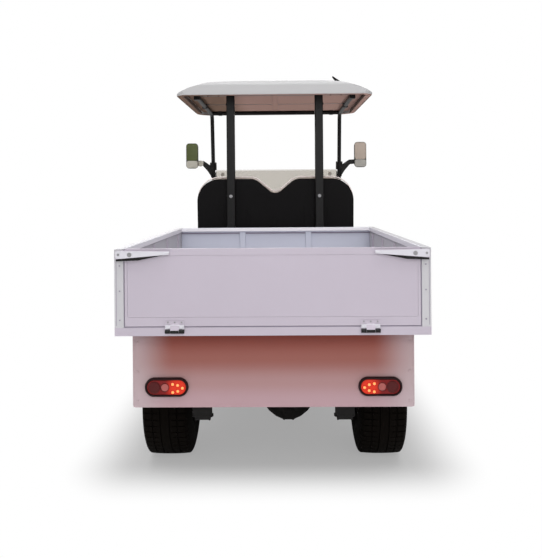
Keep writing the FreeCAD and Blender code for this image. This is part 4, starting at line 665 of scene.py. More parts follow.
def gate_trim():
    """Latch levers with pressed skins, pivots and strikers, hinge sleeves and screws, and the gate's seam; a
    dark plate under each lever and the black hinge knuckles are painted shadow.
    """
    levers = Shape()
    # Painted shadow: dark plates under the latch levers, and the gate's black middle hinge knuckle.
    shade = Shape()
    bolts = Shape()
    lever_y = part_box("tailgate")[0].y
    top = BED_TOP - 0.004
    for sign in SIDES:
        outline = [(0, -0.0015), (0, -0.03), (-0.012, -0.0318), (-0.15, -0.0212),
                   (-LATCH_LENGTH + 0.006, -0.017), (-LATCH_LENGTH + 0.0015, -0.014),
                   (-LATCH_LENGTH + 0.0015, -0.005), (-0.12, -0.0035)]
        face = [(sign * (LATCH_OUTER - 0.002 + u), top + v) for u, v in outline]
        levers.plate(face, (0, lever_y - 0.0006, 0), -0.002)
        tip = sign * (LATCH_OUTER - LATCH_LENGTH)
        curl_y = lever_y + 0.0035
        levers.rod((tip + sign * 0.001, curl_y, top - 0.01), (tip + sign * 0.02, curl_y, top - 0.0105),
                   0.0062, sides=18)
        pivot = Vector((sign * LATCH_PIVOT_X, lever_y - 0.0005, top - 0.0165))
        bolts.rod(pivot, pivot - Vector((0, 0.0012, 0)), 0.009, sides=24)
        hex_bolts(bolts, [pivot], BACK, 0.0058, 0.0024, washer=False)
        lock_x, lock_z = sign * LATCH_LOCK_X, top - 0.016
        bolts.rod((lock_x, lever_y - 0.0004, lock_z), (lock_x, lever_y - 0.002, lock_z), 0.005, sides=16)
        # A dark plate along each lever's lower edge: painted shadow under the lever.
        shadow_outline = [(-0.003, -0.03), (-0.003, -0.042), (-0.09, -0.039), (-0.18, -0.0215), (-0.196, -0.0175),
                (-0.18, -0.016)]
        shade.plate([(sign * (LATCH_OUTER + u), top + v) for u, v in shadow_outline], (0, lever_y + 0.0015, 0),
                    -0.0085)
        centre = sign * HINGE_X
        leaf = [(centre - HINGE_HALF, 0.71), (centre + HINGE_HALF, 0.71), (centre + HINGE_HALF, 0.726),
                (centre - HINGE_HALF, 0.726)]
        levers.plate(leaf, (0, GATE_FACE_Y - 0.0062, 0), -0.003)
        hex_bolts(bolts, [(centre + dx, GATE_FACE_Y - 0.003, 0.7365) for dx in (-0.027, 0.0, 0.027)], BACK,
                  0.0038, 0.0022, washer=False)
        # The middle hinge knuckle, black: painted shadow under the hinge leaf.
        shade.rod(hinge_point(centre - 0.0168), hinge_point(centre + 0.0168), HINGE_RADIUS)
    levers.done("latch_skins", "bed_rail", body="tailgate", bevel=0.0008)
    shade.done("latch_backs", "frame_black", body="tailgate", smooth=50)
    bolts.done("gate_bolts", "zinc", body="tailgate", bevel=0.0004, smooth=30)
    strikers = Shape()
    sleeves = Shape()
    seals = Shape()
    seals.box((-GATE_HALF - 0.004, GATE_FACE_Y + 0.002, 0.7145),
              (GATE_HALF + 0.004, GATE_FACE_Y + 0.022, 0.7186))
    for sign in SIDES:
        seals.box((sign * 0.5856, GATE_FACE_Y + 0.002, 0.718),
                  (sign * 0.5895, GATE_FACE_Y + 0.022, BED_TOP - 0.002))
        # The outer hinge knuckles, black: painted shadow under the hinge leaves.
        for direction in (-1, 1):
            near, far = (sign * HINGE_X + direction * reach for reach in (0.0176, 0.0378))
            sleeves.rod(hinge_point(near), hinge_point(far), HINGE_RADIUS)
        strikers.box((sign * 0.594, GATE_FACE_Y - 0.0105, top - 0.023),
                     (sign * 0.614, GATE_FACE_Y, top - 0.009))
        strikers.box((sign * 0.591, GATE_FACE_Y - 0.0015, top - 0.03),
                     (sign * 0.621, GATE_FACE_Y + 0.0005, top - 0.002))
    strikers.done("latch_strikers", "zinc", bevel=0.001)
    sleeves.done("hinge_sleeves", "frame_black", smooth=50)
    seals.done("gate_seals", "seam_grey", bevel=0.0008)
    skin = Shape()
    skin.box((-0.5735, GATE_FACE_Y + 0.0009, 0.7555), (0.5735, GATE_FACE_Y + 0.0041, 0.9995))
    skin.done("gate_skin", "bed_metal", body="tailgate")


def bed_trim():
    """Lips along the bed's rails, grooves in the corner posts, a painted shadow under the headboard's top
    rail, deck ridges, wall ribs and screws.
    """
    rails = Shape()
    inner = BED_HALF - LIP_DEPTH
    for sign in SIDES:
        rails.box((sign * (inner - 0.006), GATE_FACE_Y + 0.036, BED_TOP - LIP_DEPTH),
                  (sign * inner, -0.103, BED_TOP - 0.0005))
    rails.box((-inner, -0.11, BED_TOP - 0.022), (inner, -0.1025, BED_TOP - 0.0005))
    rails.done("bed_rail_lips", "rail_light", bevel=0.002)
    marks = Shape()
    for sign in SIDES:
        x = sign * (BED_HALF - 0.0075)
        marks.box((x - 0.0012, GATE_FACE_Y - 0.0004, 0.722),
                  (x + 0.0012, GATE_FACE_Y + 0.002, BED_TOP - 0.036))
    # Dark strips under the headboard's top rail, between its ribs: painted shadow.
    for low, high in ((-0.598, -0.2285), (-0.19, 0.19), (0.2285, 0.598)):
        marks.box((low, -0.0935, 0.988), (high, -0.0895, 0.9965))
    marks.done("bed_seams", "seam_grey")
    ribs = Shape()
    for index in range(DECK_RIDGES):
        x = -0.56 + DECK_PITCH * index
        ribs.box((x - 0.013, -1.7, 0.7165), (x + 0.013, -0.125, 0.72))
    ribs.done("deck_ridges", "bed_metal", bevel=0.0025)
    pressed = Shape()
    for sign in SIDES:
        for index in range(WALL_RIBS):
            y = -1.45 + WALL_PITCH * index
            pressed.box((sign * (inner - 0.005), y - 0.018, 0.735),
                        (sign * (inner + 0.001), y + 0.018, BED_TOP - 0.034))
    pressed.done("wall_ribs", "bed_metal", bevel=0.0035)
    screws = Shape()
    for sign in SIDES:
        hex_bolts(screws, [(sign * (BED_HALF - 0.021), GATE_FACE_Y, z) for z in (0.745, 0.86, 0.96)], BACK,
                  0.0036, 0.0022, washer=False)
        hex_bolts(screws, [(sign * BED_HALF, y, 0.73) for y in (-1.6, -1.2, -0.8, -0.4, -0.15)],
                  (sign, 0, 0), 0.006, 0.0045)
        hex_bolts(screws, [(sign * BED_HALF, y, 1.011) for y in (-1.735, -0.101)], (sign, 0, 0), 0.006,
                  0.0045)
    screws.done("bed_screws", "seam_grey", bevel=0.0004, smooth=30)


def oval(width, height):
    """An outline with fully round ends."""
    return rounded(width, height, height / 2 - 0.0005, 14)


LAMP_X = 0.433
LED_PLACES = ((0.025, 0.0125), (0.0455, 0.0085), (0.0645, -0.003), (0.046, -0.0155), (0.0255, -0.02))


def make_lamps():
    """Each lamp: a dark oval bezel, a red lens, two round discs and a lit arrow of five lights."""
    bezel, lens, discs, rings, lights, cups = (Shape() for _ in range(6))
    lamp_low, lamp_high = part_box("tail_lamps")
    centre_z = (lamp_low.z + lamp_high.z) / 2
    for sign in SIDES:
        middle = Vector((sign * LAMP_X, lamp_low.y, centre_z))
        rows = [(oval(0.177, 0.077), 0.016), (oval(0.177, 0.077), 0.006), (oval(0.171, 0.071), 0.0005),
                (oval(0.163, 0.064), 0.0006), (oval(0.157, 0.058), 0.005), (oval(0.157, 0.058), 0.008)]
        loops = bezel.stack(rows, middle)
        bezel.bm.faces.new(loops[0])
        bezel.bm.faces.new(loops[-1])
        lens.plate(oval(0.1565, 0.0575), middle + Vector((0, 0.0075, 0)), 0.0035)
        for out, radius, kind in ((0.0065, 0.0155, discs), (0.049, 0.0225, rings)):
            place = middle + Vector((out * sign, 0.0045, 0))
            kind.lathe([(0.0, radius), (-0.0016, radius - 0.0012), (-0.002, radius * 0.55),
                        (-0.0022, 0.0003)], place, AHEAD, sides=36)
            cups.lathe([(0.0005, radius + 0.0026), (-0.0018, radius + 0.0022), (-0.0018, radius + 0.0004),
                        (0.0005, radius + 0.0002)], place, AHEAD, sides=36, closed=True)
        for inward, up in LED_PLACES:
            place = middle + Vector((-sign * inward, 0.0042, up))
            lights.ball(place, 0.006, squash=(1, 0.5, 1), sides=18)
            cups.lathe([(0.0006, 0.008), (-0.0012, 0.0076), (-0.0012, 0.0064), (0.0006, 0.0062)], place,
                       AHEAD, sides=24, closed=True)
    bezel.done("lamp_bezels", "bezel_black", stand_for=["tail_lamps"], bevel=0.0004, smooth=50)
    lens.done("lamp_lenses", "lamp_red", bevel=0.0008, smooth=40)
    discs.done("lamp_reflectors", "reflector", smooth=40)
    rings.done("lamp_outer_discs", "lamp_dark", smooth=40)
    cups.done("lamp_cups", "lamp_dark", smooth=40)
    lights.done("lamp_lights", "led_lit", smooth=60)


def panel_trim():
    """The rear panel's rolled lower edge, side folds and screws."""
    lip = Shape()
    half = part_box("rear_panel")[1].x
    lip.rod((-half + 0.014, PANEL_Y + 0.006, 0.3785), (half - 0.014, PANEL_Y + 0.006, 0.3785), 0.0035,
            sides=14)
    lip.done("panel_lip", "panel_paint", smooth=50)
    screws = Shape()
    hex_bolts(screws, [(x, PANEL_Y, z) for x in (-0.552, 0.552) for z in (0.4, 0.52, 0.64)], BACK, 0.0042,
              0.003)
    screws.done("panel_screws", "panel_paint", bevel=0.0004, smooth=30)
    folds = Shape()
    for sign in SIDES:
        folds.box((sign * half, PANEL_Y - 0.0012, 0.392), (sign * (half - 0.006), PANEL_Y + 0.004, 0.68))
    folds.done("panel_folds", "panel_paint", bevel=0.0008)


gate_trim()
bed_trim()
make_lamps()
panel_trim()


# Canopy, posts, windshield and mirrors

POST_FOOT_Y = 1.133
RAKE = math.radians(9.5)
ROOF_RAIL_Z = 1.869
POST_X = 0.5
TUBE_RADIUS = 0.015
REAR_POST_X = 0.284
REAR_POST_Y = -0.042
MIRROR_X = 0.666
MIRROR_Z = 1.547
MIRROR_DEPTH = 0.021
GLASS_LOW = 0.99
GLASS_HEIGHT = 0.436 / math.cos(RAKE)
PANE_HALF = 0.4847


def post_y(z):
    """How far ahead the raked front posts stand at a height."""
    return POST_FOOT_Y - (z - 0.6) * math.tan(RAKE)


def raked(x, out, up):
    """A point in the windshield's plane: out ahead of it and up along it."""
    base = Vector((x, post_y(GLASS_LOW), GLASS_LOW))
    outward = Vector((0, math.cos(RAKE), math.sin(RAKE)))
    upward = Vector((0, -math.sin(RAKE), math.cos(RAKE)))
    return base + outward * out + upward * up


def roof_tubes():
    """Round front posts bent into the roof rails, with the front crossbar, the rear strap, feet and bolts."""
    tubes = Shape()
    front_y = post_y(ROOF_RAIL_Z) - 0.06
    for sign in SIDES:
        x = POST_X * sign
        path = bend_path([((x, POST_FOOT_Y, 0.6), 0), ((x, post_y(ROOF_RAIL_Z), ROOF_RAIL_Z), 0.06),
                          ((x, REAR_POST_Y - 0.015, ROOF_RAIL_Z), 0)], steps=12)
        tubes.tube(path, TUBE_RADIUS, sides=24)
        tubes.rod((x, POST_FOOT_Y, 0.566), (x, POST_FOOT_Y, 0.612), 0.0235, sides=28)
    tubes.rod((-POST_X, front_y, ROOF_RAIL_Z), (POST_X, front_y, ROOF_RAIL_Z), TUBE_RADIUS)
    tubes.done("roof_tubes", "frame_black", smooth=50, stand_for=["roof_frame"])
    strap = Shape()
    strap.box((-0.5, -0.068, 1.878), (0.5, -0.016, 1.884))
    for sign in SIDES:
        strap.box((POST_X * sign - 0.019, -0.066, 1.85), (POST_X * sign + 0.019, -0.018, 1.8785))
    strap.done("roof_strap", "frame_black", bevel=0.0012)
    clamps = Shape()
    places = [(POST_X * sign, 0.42, True) for sign in SIDES]
    places += [(0.43 * sign, front_y, False) for sign in SIDES]
    for x, y, along in places:
        for reach, low in ((0.0172, 1.8518), (0.03, 1.8815)):
            wide, deep = (reach, 0.014) if along else (0.014, reach)
            clamps.box((x - wide, y - deep, low), (x + wide, y + deep, 1.8838))
    clamps.done("roof_clamps", "frame_black", bevel=0.003, segments=3)
    bolts = Shape()
    bright = Shape()
    for sign in SIDES:
        hex_bolts(bolts, [(sign * REAR_POST_X, -0.068, z) for z in (0.91, 1.05, 1.79)], BACK, 0.007, 0.0055)
        hex_bolts(bright, [(sign * REAR_POST_X, -0.068, 1.227)], BACK, 0.008, 0.006)
        hex_bolts(bolts, [(sign * 0.31, REAR_POST_Y, z) for z in (0.95, 1.23, 1.82)], (sign, 0, 0), 0.0065,
                  0.005)
        hex_bolts(bolts, [(sign * x, REAR_POST_Y, 1.878) for x in (0.36, 0.43)], BELOW, 0.0065, 0.005)
    bolts.done("post_bolts", "frame_black", bevel=0.0006, smooth=30)
    bright.done("shell_bolts", "zinc", bevel=0.0006, smooth=30)


def roof_lining():
    """Pressed panels in the canopy's hollow, soft gutters along its lip and the aerial's foot."""
    lining = Shape()
    for x0, x1 in ((-0.47, -0.02), (0.02, 0.47)):
        for y0, y1 in ((0.01, 0.395), (0.445, 0.79)):
            lining.box((x0, y0, 1.88), (x1, y1, 1.8845))
    lining.done("roof_panels", "roof_white", bevel=0.004, segments=3)
    liner = Shape()
    for sign in SIDES:
        liner.box((sign * 0.5742, -0.15, 1.857), (sign * 0.57, 0.82, 1.8842))
    liner.box((-0.47, 0.936, 1.866), (0.47, 0.9405, 1.8842))
    liner.done("roof_liner", "roof_lining", bevel=0.001)
    gutter = Shape()
    for sign in SIDES:
        x = sign * 0.607
        gutter.tube([(x, -0.16, 1.8556), (x, 0.3, 1.8595), (x, 0.79, 1.865)], 0.0026, sides=10)
    gutter.done("roof_gutters", "roof_lining", smooth=50)
    base = Shape()
    base.rod((0.462, 0.032, 1.927), (0.474, 0.032, 1.942), 0.0165, 0.011, sides=24)
    base.done("aerial_foot", "grip_rubber", bevel=0.0008, smooth=40)


def panes():
    """Rubber edges, clips and buttons of the folded windshield."""
    edge = Shape()
    side_x = PANE_HALF - 0.0028
    for out, low, high in ((0.0, 0.0, GLASS_HEIGHT), (0.0245, GLASS_HEIGHT - 0.4, GLASS_HEIGHT + 0.006)):
        for sign in SIDES:
            edge.tube([raked(sign * side_x, out, low + 0.014), raked(sign * side_x, out, high - 0.014)],
                      0.0026, sides=10)
    edge.tube([raked(-side_x, 0.0245, GLASS_HEIGHT - 0.396), raked(side_x, 0.0245, GLASS_HEIGHT - 0.396)],
              0.003, sides=10)
    edge.tube([raked(-side_x, 0, 0.003), raked(side_x, 0, 0.003)], 0.003, sides=10)
    edge.done("glass_edges", "grip_rubber", smooth=50)
    clips = Shape()
    buttons = Shape()
    for sign in SIDES:
        place = (0.427 * sign, GLASS_HEIGHT - 0.027)
        buttons.rod(raked(place[0], -0.0075, place[1]), raked(place[0], -0.0026, place[1]), 0.015, sides=28)
        buttons.rod(raked(place[0], -0.0105, place[1]), raked(place[0], -0.007, place[1]), 0.0075, sides=6)
        for z in (1.04, 1.2, 1.36):
            y = post_y(z)
            clips.box((sign * 0.481 - 0.012, y - 0.01, z - 0.016),
                      (sign * 0.481 + 0.01, y - 0.0035, z + 0.016))
    clips.done("glass_clips", "grip_rubber", bevel=0.001, smooth=40)
    buttons.done("glass_buttons", "clip_clear", bevel=0.001, smooth=40)


def make_mirrors():
    """Each mirror: a moulded housing with a lip round its glass, a lower pane, bracket and post clamp; the
    glass's colour is a painted reflection.
    """
    # Painted reflection colours for the glass, one for each side.
    glass_reflections = {-1: "mirror_green", 1: "mirror_beige"}
    y = post_y(1.479)
    depth = MIRROR_DEPTH
    glass_y = y - depth + 0.0022
    for sign in SIDES:
        name = "left" if sign < 0 else "right"
        x = MIRROR_X * sign
        housing = Shape()
        rim = rounded(0.095, 0.2, 0.024)
        front = [(rim, -depth + 0.004), (rounded(0.0935, 0.1985, 0.0235), -depth),
                 (rounded(0.089, 0.194, 0.021), -depth + 0.0005),
                 (rounded(0.0875, 0.1925, 0.02), -depth + 0.0045)]
        back = [(rim, -depth + 0.004), (rounded(0.095, 0.2, 0.03), 0.004),
                (rounded(0.083, 0.186, 0.036), 0.015), (rounded(0.06, 0.16, 0.028), depth)]
        for profile in (front, back):
            loops = housing.stack(profile, Vector((x, y, MIRROR_Z)))
            housing.bm.faces.new(loops[-1])
        bmesh.ops.remove_doubles(housing.bm, verts=housing.bm.verts, dist=0.00001)
        housing.done("mirror_housing_" + name, "mirror_shell", smooth=45, slot="grip_rubber")
        glass = Shape()
        glass.plate(rounded(0.087, 0.133, 0.018), (x, glass_y, 1.5765), 0.0015)
        glass.done("mirror_glass_" + name, glass_reflections[sign], bevel=0.0005, slot="grip_rubber")
        lower = Shape()
        lower.plate(rounded(0.087, 0.056, 0.014), (x, glass_y, 1.48), 0.0015)
        if sign < 0:
            foot = [(-0.625, 1.468), (-0.596, 1.462), (-0.58, 1.474), (-0.577, 1.508), (-0.625, 1.508)]
            lower.plate(foot, (0, y - 0.0064, 0), 0.003)
        lower.done("mirror_lower_" + name, "mirror_pale" if sign < 0 else "mirror_lower", bevel=0.0005,
                   slot="grip_rubber")
        arm = Shape()
        outline = [(0.512, 1.376), (0.545, 1.426), (0.585, 1.472), (0.656, 1.478), (0.678, 1.494),
                   (0.646, 1.512), (0.577, 1.508), (0.512, 1.464)]
        arm.plate([(sign * u, v) for u, v in outline], (0, y - 0.006, 0), -0.012)
        corners = ((1.376, -0.008), (1.376, 0.008), (1.464, 0.008), (1.464, -0.008))
        saddle = [(post_y(z) + aside, z) for z, aside in corners]
        arm.plate(saddle, (sign * 0.515, 0, 0), 0.006 * sign, across=AHEAD)
        arm.rod((POST_X * sign, post_y(1.434), 1.434), (POST_X * sign, post_y(1.494), 1.494), 0.0265,
                sides=32)
        arm.done("mirror_arm_" + name, "frame_black", bevel=0.0018, smooth=40,
                 stand_for=["mirrors"] if sign > 0 else (), slot="grip_rubber")
        bolts = Shape()
        hex_bolts(bolts, [(sign * (POST_X + 0.006), post_y(z) - 0.0262, z) for z in (1.45, 1.478)], BACK,
                  0.0055, 0.0045)
        bolts.done("mirror_bolts_" + name, "frame_black", bevel=0.0005, smooth=30, slot="grip_rubber")


roof_tubes()
roof_lining()
panes()
make_mirrors()


# Seat: cushions blown up as cloth, their seams, the shell and the armrests

VOXEL, QUICK_VOXEL = 0.008, 0.016
CLOTH_FRAMES = 20
PRESSURE = 4.0
PUFF_CAP = 0.014
SEAM_HALF = 0.0065
BENCH_SEAMS = (-0.25, 0.0, 0.25)
BACK_SEAMS = (0.985, 1.11)
ARMREST_X = 0.542
ARMREST_ENDS = (0.052, 0.382)
ARMREST_FOOT = 0.76
ARMREST_TOP = 0.985
ARMREST_RADIUS = 0.0138


def puffed(name, shape, node, pinned):
    """Blows a closed form up as cloth, held where pinned says, then fixes the result."""
    thing = shape.done(name, "seat_vinyl", bevel=0.026, segments=4, angle=30, stand_for=[node])
    settle(thing)
    remesh = thing.modifiers.new("remesh", "REMESH")
    remesh.mode = "VOXEL"
    remesh.voxel_size = VOXEL
    settle(thing)
    start = [vertex.co.copy() for vertex in thing.data.vertices]
    group = thing.vertex_groups.new(name="held")
    for vertex in thing.data.vertices:
        weight = pinned(vertex.co)
        if weight > 0:
            group.add([vertex.index], weight, "REPLACE")
    cloth = thing.modifiers.new("cloth", "CLOTH")
    settings = cloth.settings
    settings.quality = 5
    settings.mass = 0.4
    settings.tension_stiffness = 18
    settings.compression_stiffness = 18
    settings.shear_stiffness = 8
    settings.bending_stiffness = 2.0
    settings.use_pressure = True
    settings.uniform_pressure_force = PRESSURE
    settings.effector_weights.gravity = 0.0
    settings.vertex_group_mass = "held"
    cloth.collision_settings.use_collision = False
    scene = bpy.context.scene
    for step in range(1, CLOTH_FRAMES + 1):
        scene.frame_set(step)
    settle(thing)
    scene.frame_set(1)
    for vertex, before in zip(thing.data.vertices, start):
        move = vertex.co - before
        if move.length > PUFF_CAP:
            vertex.co = before + move * (PUFF_CAP / move.length)
    for polygon in thing.data.polygons:
        polygon.use_smooth = True
    thing.data.materials.clear()
    thing.data.materials.append(MATERIALS["seat_vinyl"])
    return thing


def outline_path(points, radius, steps=6):
    """A closed outline with every corner rounded."""
    path = []
    count = len(points)
    for index in range(count):
        before, corner, after = (Vector(points[place % count][:2])
                                 for place in (index - 1, index, index + 1))
        bend = points[index][2] if len(points[index]) > 2 else radius
        back, ahead = (before - corner).normalized(), (after - corner).normalized()
        half = back.angle(ahead) / 2
        reach = bend / math.tan(half)
        middle = corner + (back + ahead).normalized() * (bend / math.sin(half))
        start, end = corner + back * reach - middle, corner + ahead * reach - middle
        turn = start.angle_signed(end)
        for step in range(steps + 1):
            angle = -turn * step / steps
            path.append((middle.x + start.x * math.cos(angle) - start.y * math.sin(angle),
                         middle.y + start.x * math.sin(angle) + start.y * math.cos(angle)))
    return path


def back_points(shrink, low, high):
    """The backrest's notched outline, drawn in by shrink; each corner with its own radius."""
    half = 0.509 - shrink
    foot = 0.5035 - shrink
    notch = 0.1295
    return [(-foot, low, 0.04), (foot, low, 0.04), (half, high, 0.142 - shrink),
            (notch - shrink * 0.3, high, 0.09), (0, high - 0.108, 0.055),
            (-notch + shrink * 0.3, high, 0.09), (-half, high, 0.142 - shrink)]


def near_surface(thing, axis, out):
    """Gives a function that moves a point along an axis onto the piece's outer side."""
    graph = bpy.context.evaluated_depsgraph_get()
    tree = BVHTree.FromObject(thing, graph)

    def find(point):
        hit = tree.ray_cast(Vector(point) + Vector(axis) * out, -Vector(axis))
        return hit[0] if hit[0] else Vector(point)
    return find


def piping(name, points, material="seat_trim", radius=0.0042, loop=True):
    """A round cord along a seam."""
    cord = Shape()
    cord.tube(points, radius, sides=10, loop=loop)
    cord.done(name, material, smooth=60, slot="seat_vinyl")


def seat_cushions():
    """The bench and the notched backrest, with their seams and piping."""
    bench = Shape()
    y_low, y_high = 0.084, 0.584
    corners = [(-0.497, y_low, 0.046), (0.497, y_low, 0.046), (0.497, y_high, 0.075),
               (-0.497, y_high, 0.075)]
    bench.plate(outline_path(corners, 0.05, 10), (0, 0, 0.7605), 0.09, up=AHEAD)

    def held(point):
        if point.z < 0.772:
            return 1.0
        if point.z > 0.835:
            if min(abs(point.x - x) for x in BENCH_SEAMS) < SEAM_HALF and 0.13 < point.y < 0.54:
                return 1.0
            if abs(point.y - 0.45) < SEAM_HALF and abs(point.x) < 0.45:
                return 1.0
        return 0.0

    pad = puffed("bench_pad", bench, "seat_cushion", held)
    find = near_surface(pad, UP, 0.3)
    for x in BENCH_SEAMS:
        line = [find((x, 0.13 + 0.41 * step / 30, 0.9)) - Vector((0, 0, 0.0005)) for step in range(31)]
        piping("bench_seam", line, "seat_vinyl", 0.0016, loop=False)
    rim = [(-0.487, 0.094, 0.04), (0.487, 0.094, 0.04), (0.487, 0.574, 0.066), (-0.487, 0.574, 0.066)]
    piping("bench_welt", [find((x, y, 0.9)) for x, y in outline_path(rim, 0.05, 10)])
    back = Shape()
    outline = outline_path(back_points(0.007, 0.872, 1.347), 0.05, 8)
    back.plate(outline, (0, 0.0125, 0), -0.082)

    def held_back(point):
        if point.y < 0.026:
            return 1.0
        if point.y > 0.08:
            if abs(point.x) < SEAM_HALF and point.z < 1.2:
                return 1.0
            if min(abs(point.z - z) for z in BACK_SEAMS) < SEAM_HALF and 0.05 < abs(point.x) < 0.46:
                return 1.0
        return 0.0

    rest = puffed("back_pad", back, "backrest_cushion", held_back)
    find_back = near_surface(rest, AHEAD, 0.3)
    inner = outline_path(back_points(0.019, 0.886, 1.335), 0.05, 8)
    piping("back_welt", [find_back((x, 0.1, z)) for x, z in inner])
    for z in BACK_SEAMS:
        for sign in SIDES:
            line = [find_back((sign * (0.05 + 0.41 * step / 24), 0.1, z)) for step in range(25)]
            piping("back_seam", line, "seat_vinyl", 0.0016, loop=False)
    edge = outline_path(back_points(0.0035, 0.87, 1.3515), 0.05, 8)
    piping("back_edge_welt", [(x, 0.0165, z) for x, z in edge], radius=0.004)


def shell_details():
    """Ribs on the shell, the armrests' round tubes and pads, and the outlines of the seat pod's hatches."""
    shell = Shape()
    for x in (-0.35, -0.175, 0.0, 0.175, 0.35):
        shell.box((x - 0.01, -0.0125, 0.83), (x + 0.01, -0.009, 1.16 if abs(x) > 0.1 else 1.1))
    shell.done("shell_ribs", "black_plastic", bevel=0.0025, segments=2)
    rests = Shape()
    for sign in SIDES:
        x = sign * ARMREST_X
        near, far = ARMREST_ENDS
        path = bend_path([((x, near, ARMREST_FOOT), 0), ((x, near, ARMREST_TOP), 0.06),
                          ((x, far, ARMREST_TOP), 0.06), ((x, far, ARMREST_FOOT), 0)], steps=12)
        rests.tube(path, ARMREST_RADIUS, sides=22)
        for y in ARMREST_ENDS:
            rests.rod((x, y, 0.7602), (x, y, 0.7665), ARMREST_RADIUS, sides=28)
    rests.done("armrest_tubes", "frame_black", smooth=50, stand_for=["armrests"])
    pads = Shape()
    for sign in SIDES:
        x = sign * ARMREST_X
        pads.box((x - ARMREST_RADIUS, 0.115, 0.9715), (x + ARMREST_RADIUS, 0.32, 0.9988))
    pads.done("armrest_pads", "grip_rubber", bevel=0.008, segments=4)
    base = Shape()
    for sign in SIDES:
        x0, x1 = sign * 0.5602, sign * 0.559
        base.box((x0, 0.06, 0.48), (x1, 0.066, 0.73))
        base.box((x0, 0.06, 0.724), (x1, 0.47, 0.73))
        base.box((x0, 0.464, 0.48), (x1, 0.47, 0.73))
        base.box((x0, 0.06, 0.48), (x1, 0.47, 0.486))
        base.box((sign * 0.5605 - 0.002, 0.245, 0.69), (sign * 0.5605 + 0.002, 0.3, 0.708))
    base.done("pod_hatches", "frame_black", bevel=0.0004)


seat_cushions()
shell_details()


# Cabin: steering, dash, floor, pedals and sills

COLUMN = Vector((-0.215, 0.742, 1.21))
LEAN = math.radians(30)
DOWN = Vector((0, math.sin(LEAN), -math.cos(LEAN)))
UP_FACE = Vector((0, math.cos(LEAN), math.sin(LEAN)))
SIDE = Vector(RIGHT)
WHEEL_RADIUS = 0.173
STITCHES = 48
MAT_RIBS = 23
MAT_PITCH = 0.046
DASH_SUNK = 0.006
DASH_BINS = ((-0.055, 0.165), (0.195, 0.43))


def wheel_point(along, radius, angle):
    """A point about the steering axis: along it downward, and round it."""
    return COLUMN + DOWN * along + (SIDE * math.cos(angle) + UP_FACE * math.sin(angle)) * radius


def make_steering():
    """A thick round rim, three padded spokes, a horn pad, and the column's shroud, lever and lock."""
    rim = Shape()
    rim.tube([wheel_point(0, WHEEL_RADIUS, 2 * math.pi * k / 72) for k in range(72)], 0.012, sides=18,
             loop=True)
    rim.done("steering_rim", "grip_rubber", body="steering_wheel", smooth=60, stand_for=["steering_wheel"])
    grips = Shape()
    for k in range(STITCHES):
        angle = 2 * math.pi * (k + 0.5) / STITCHES
        stitch = [wheel_point(0.0112, WHEEL_RADIUS + 0.0118 * math.cos(t), angle)
                  + DOWN * (0.0118 * math.sin(t) - 0.0112) for t in (-2.4, -1.6, -0.8, 0.0, 0.8, 1.6, 2.4)]
        grips.tube(stitch, 0.0013, sides=6)
    grips.done("rim_stitches", "black_plastic", body="steering_wheel", smooth=60)
    spokes = Shape()
    for index in range(3):
        angle = math.radians(30 + 120 * index)
        heading = SIDE * math.cos(angle) + UP_FACE * math.sin(angle)
        across = SIDE * -math.sin(angle) + UP_FACE * math.cos(angle)
        outline = [(0.02, -0.017), (0.07, -0.0125), (0.168, -0.0105), (0.168, 0.0105), (0.07, 0.0125),
                   (0.02, 0.017)]
        spokes.plate(outline, COLUMN - DOWN * 0.0055, 0.0095, heading, across)
    spokes.lathe([(0.0597, 0.0215), (0.0597, 0.038), (0.03, 0.042), (0.006, 0.044), (-0.007, 0.04),
                  (-0.012, 0.033), (-0.014, 0.02), (-0.0145, 0.0004)], COLUMN, DOWN, sides=48)
    spokes.done("steering_spokes", "black_plastic", body="steering_wheel", bevel=0.0015, smooth=40)
    ring = Shape()
    ring.lathe([(-0.0125, 0.03), (-0.0142, 0.029), (-0.0142, 0.027), (-0.0125, 0.0262)], COLUMN, DOWN,
               sides=40, closed=True)
    ring.done("horn_ring", "chrome", body="steering_wheel", smooth=50)
    shroud = Shape()
    shroud.lathe([(0.0625, 0.0225), (0.0625, 0.033), (0.07, 0.036), (0.19, 0.035), (0.205, 0.03),
                  (0.23, 0.0225)], COLUMN, DOWN, sides=40, closed=True)
    start = COLUMN + DOWN * 0.125
    end = start + SIDE * 0.115 + UP_FACE * 0.018 - DOWN * 0.01
    shroud.rod(start, end, 0.006, 0.0048, sides=16)
    shroud.ball(end, 0.0095, sides=18)
    box = start - SIDE * 0.058
    shroud.rod(start - SIDE * 0.02, box, 0.0125, sides=20)
    shroud.done("column_shroud", "black_plastic", smooth=45)
    key = Shape()
    key.rod(box, box - SIDE * 0.006, 0.0098, sides=24)
    key.box(box + Vector((-0.016, -0.0015, -0.0075)), box + Vector((-0.004, 0.0015, 0.0075)))
    key.done("column_lock", "zinc", bevel=0.0006)


DASH_SLANT = 0.2564
DASH_UP = Vector((0, DASH_SLANT, 1)).normalized()
DASH_INWARD = Vector((0, 1, -DASH_SLANT)).normalized()


def dash_point(x, z, out=0.0):
    """A point on the dash's slanted face, or out from it toward the driver."""
    return Vector((x, 0.91 + (z - 0.87) * DASH_SLANT, z)) - DASH_INWARD * out


def dash_panel(shape, x0, x1, z0, z1, out):
    """A flat block set into the dash's face, that stands out from it."""
    middle = dash_point((x0 + x1) / 2, (z0 + z1) / 2, (out - DASH_SUNK) / 2)
    half = Vector(((x1 - x0) / 2, (DASH_SUNK + out) / 2, (z1 - z0) / 2))
    shape.box(middle - half, middle + half, Matrix((SIDE, DASH_INWARD, DASH_UP)).transposed())


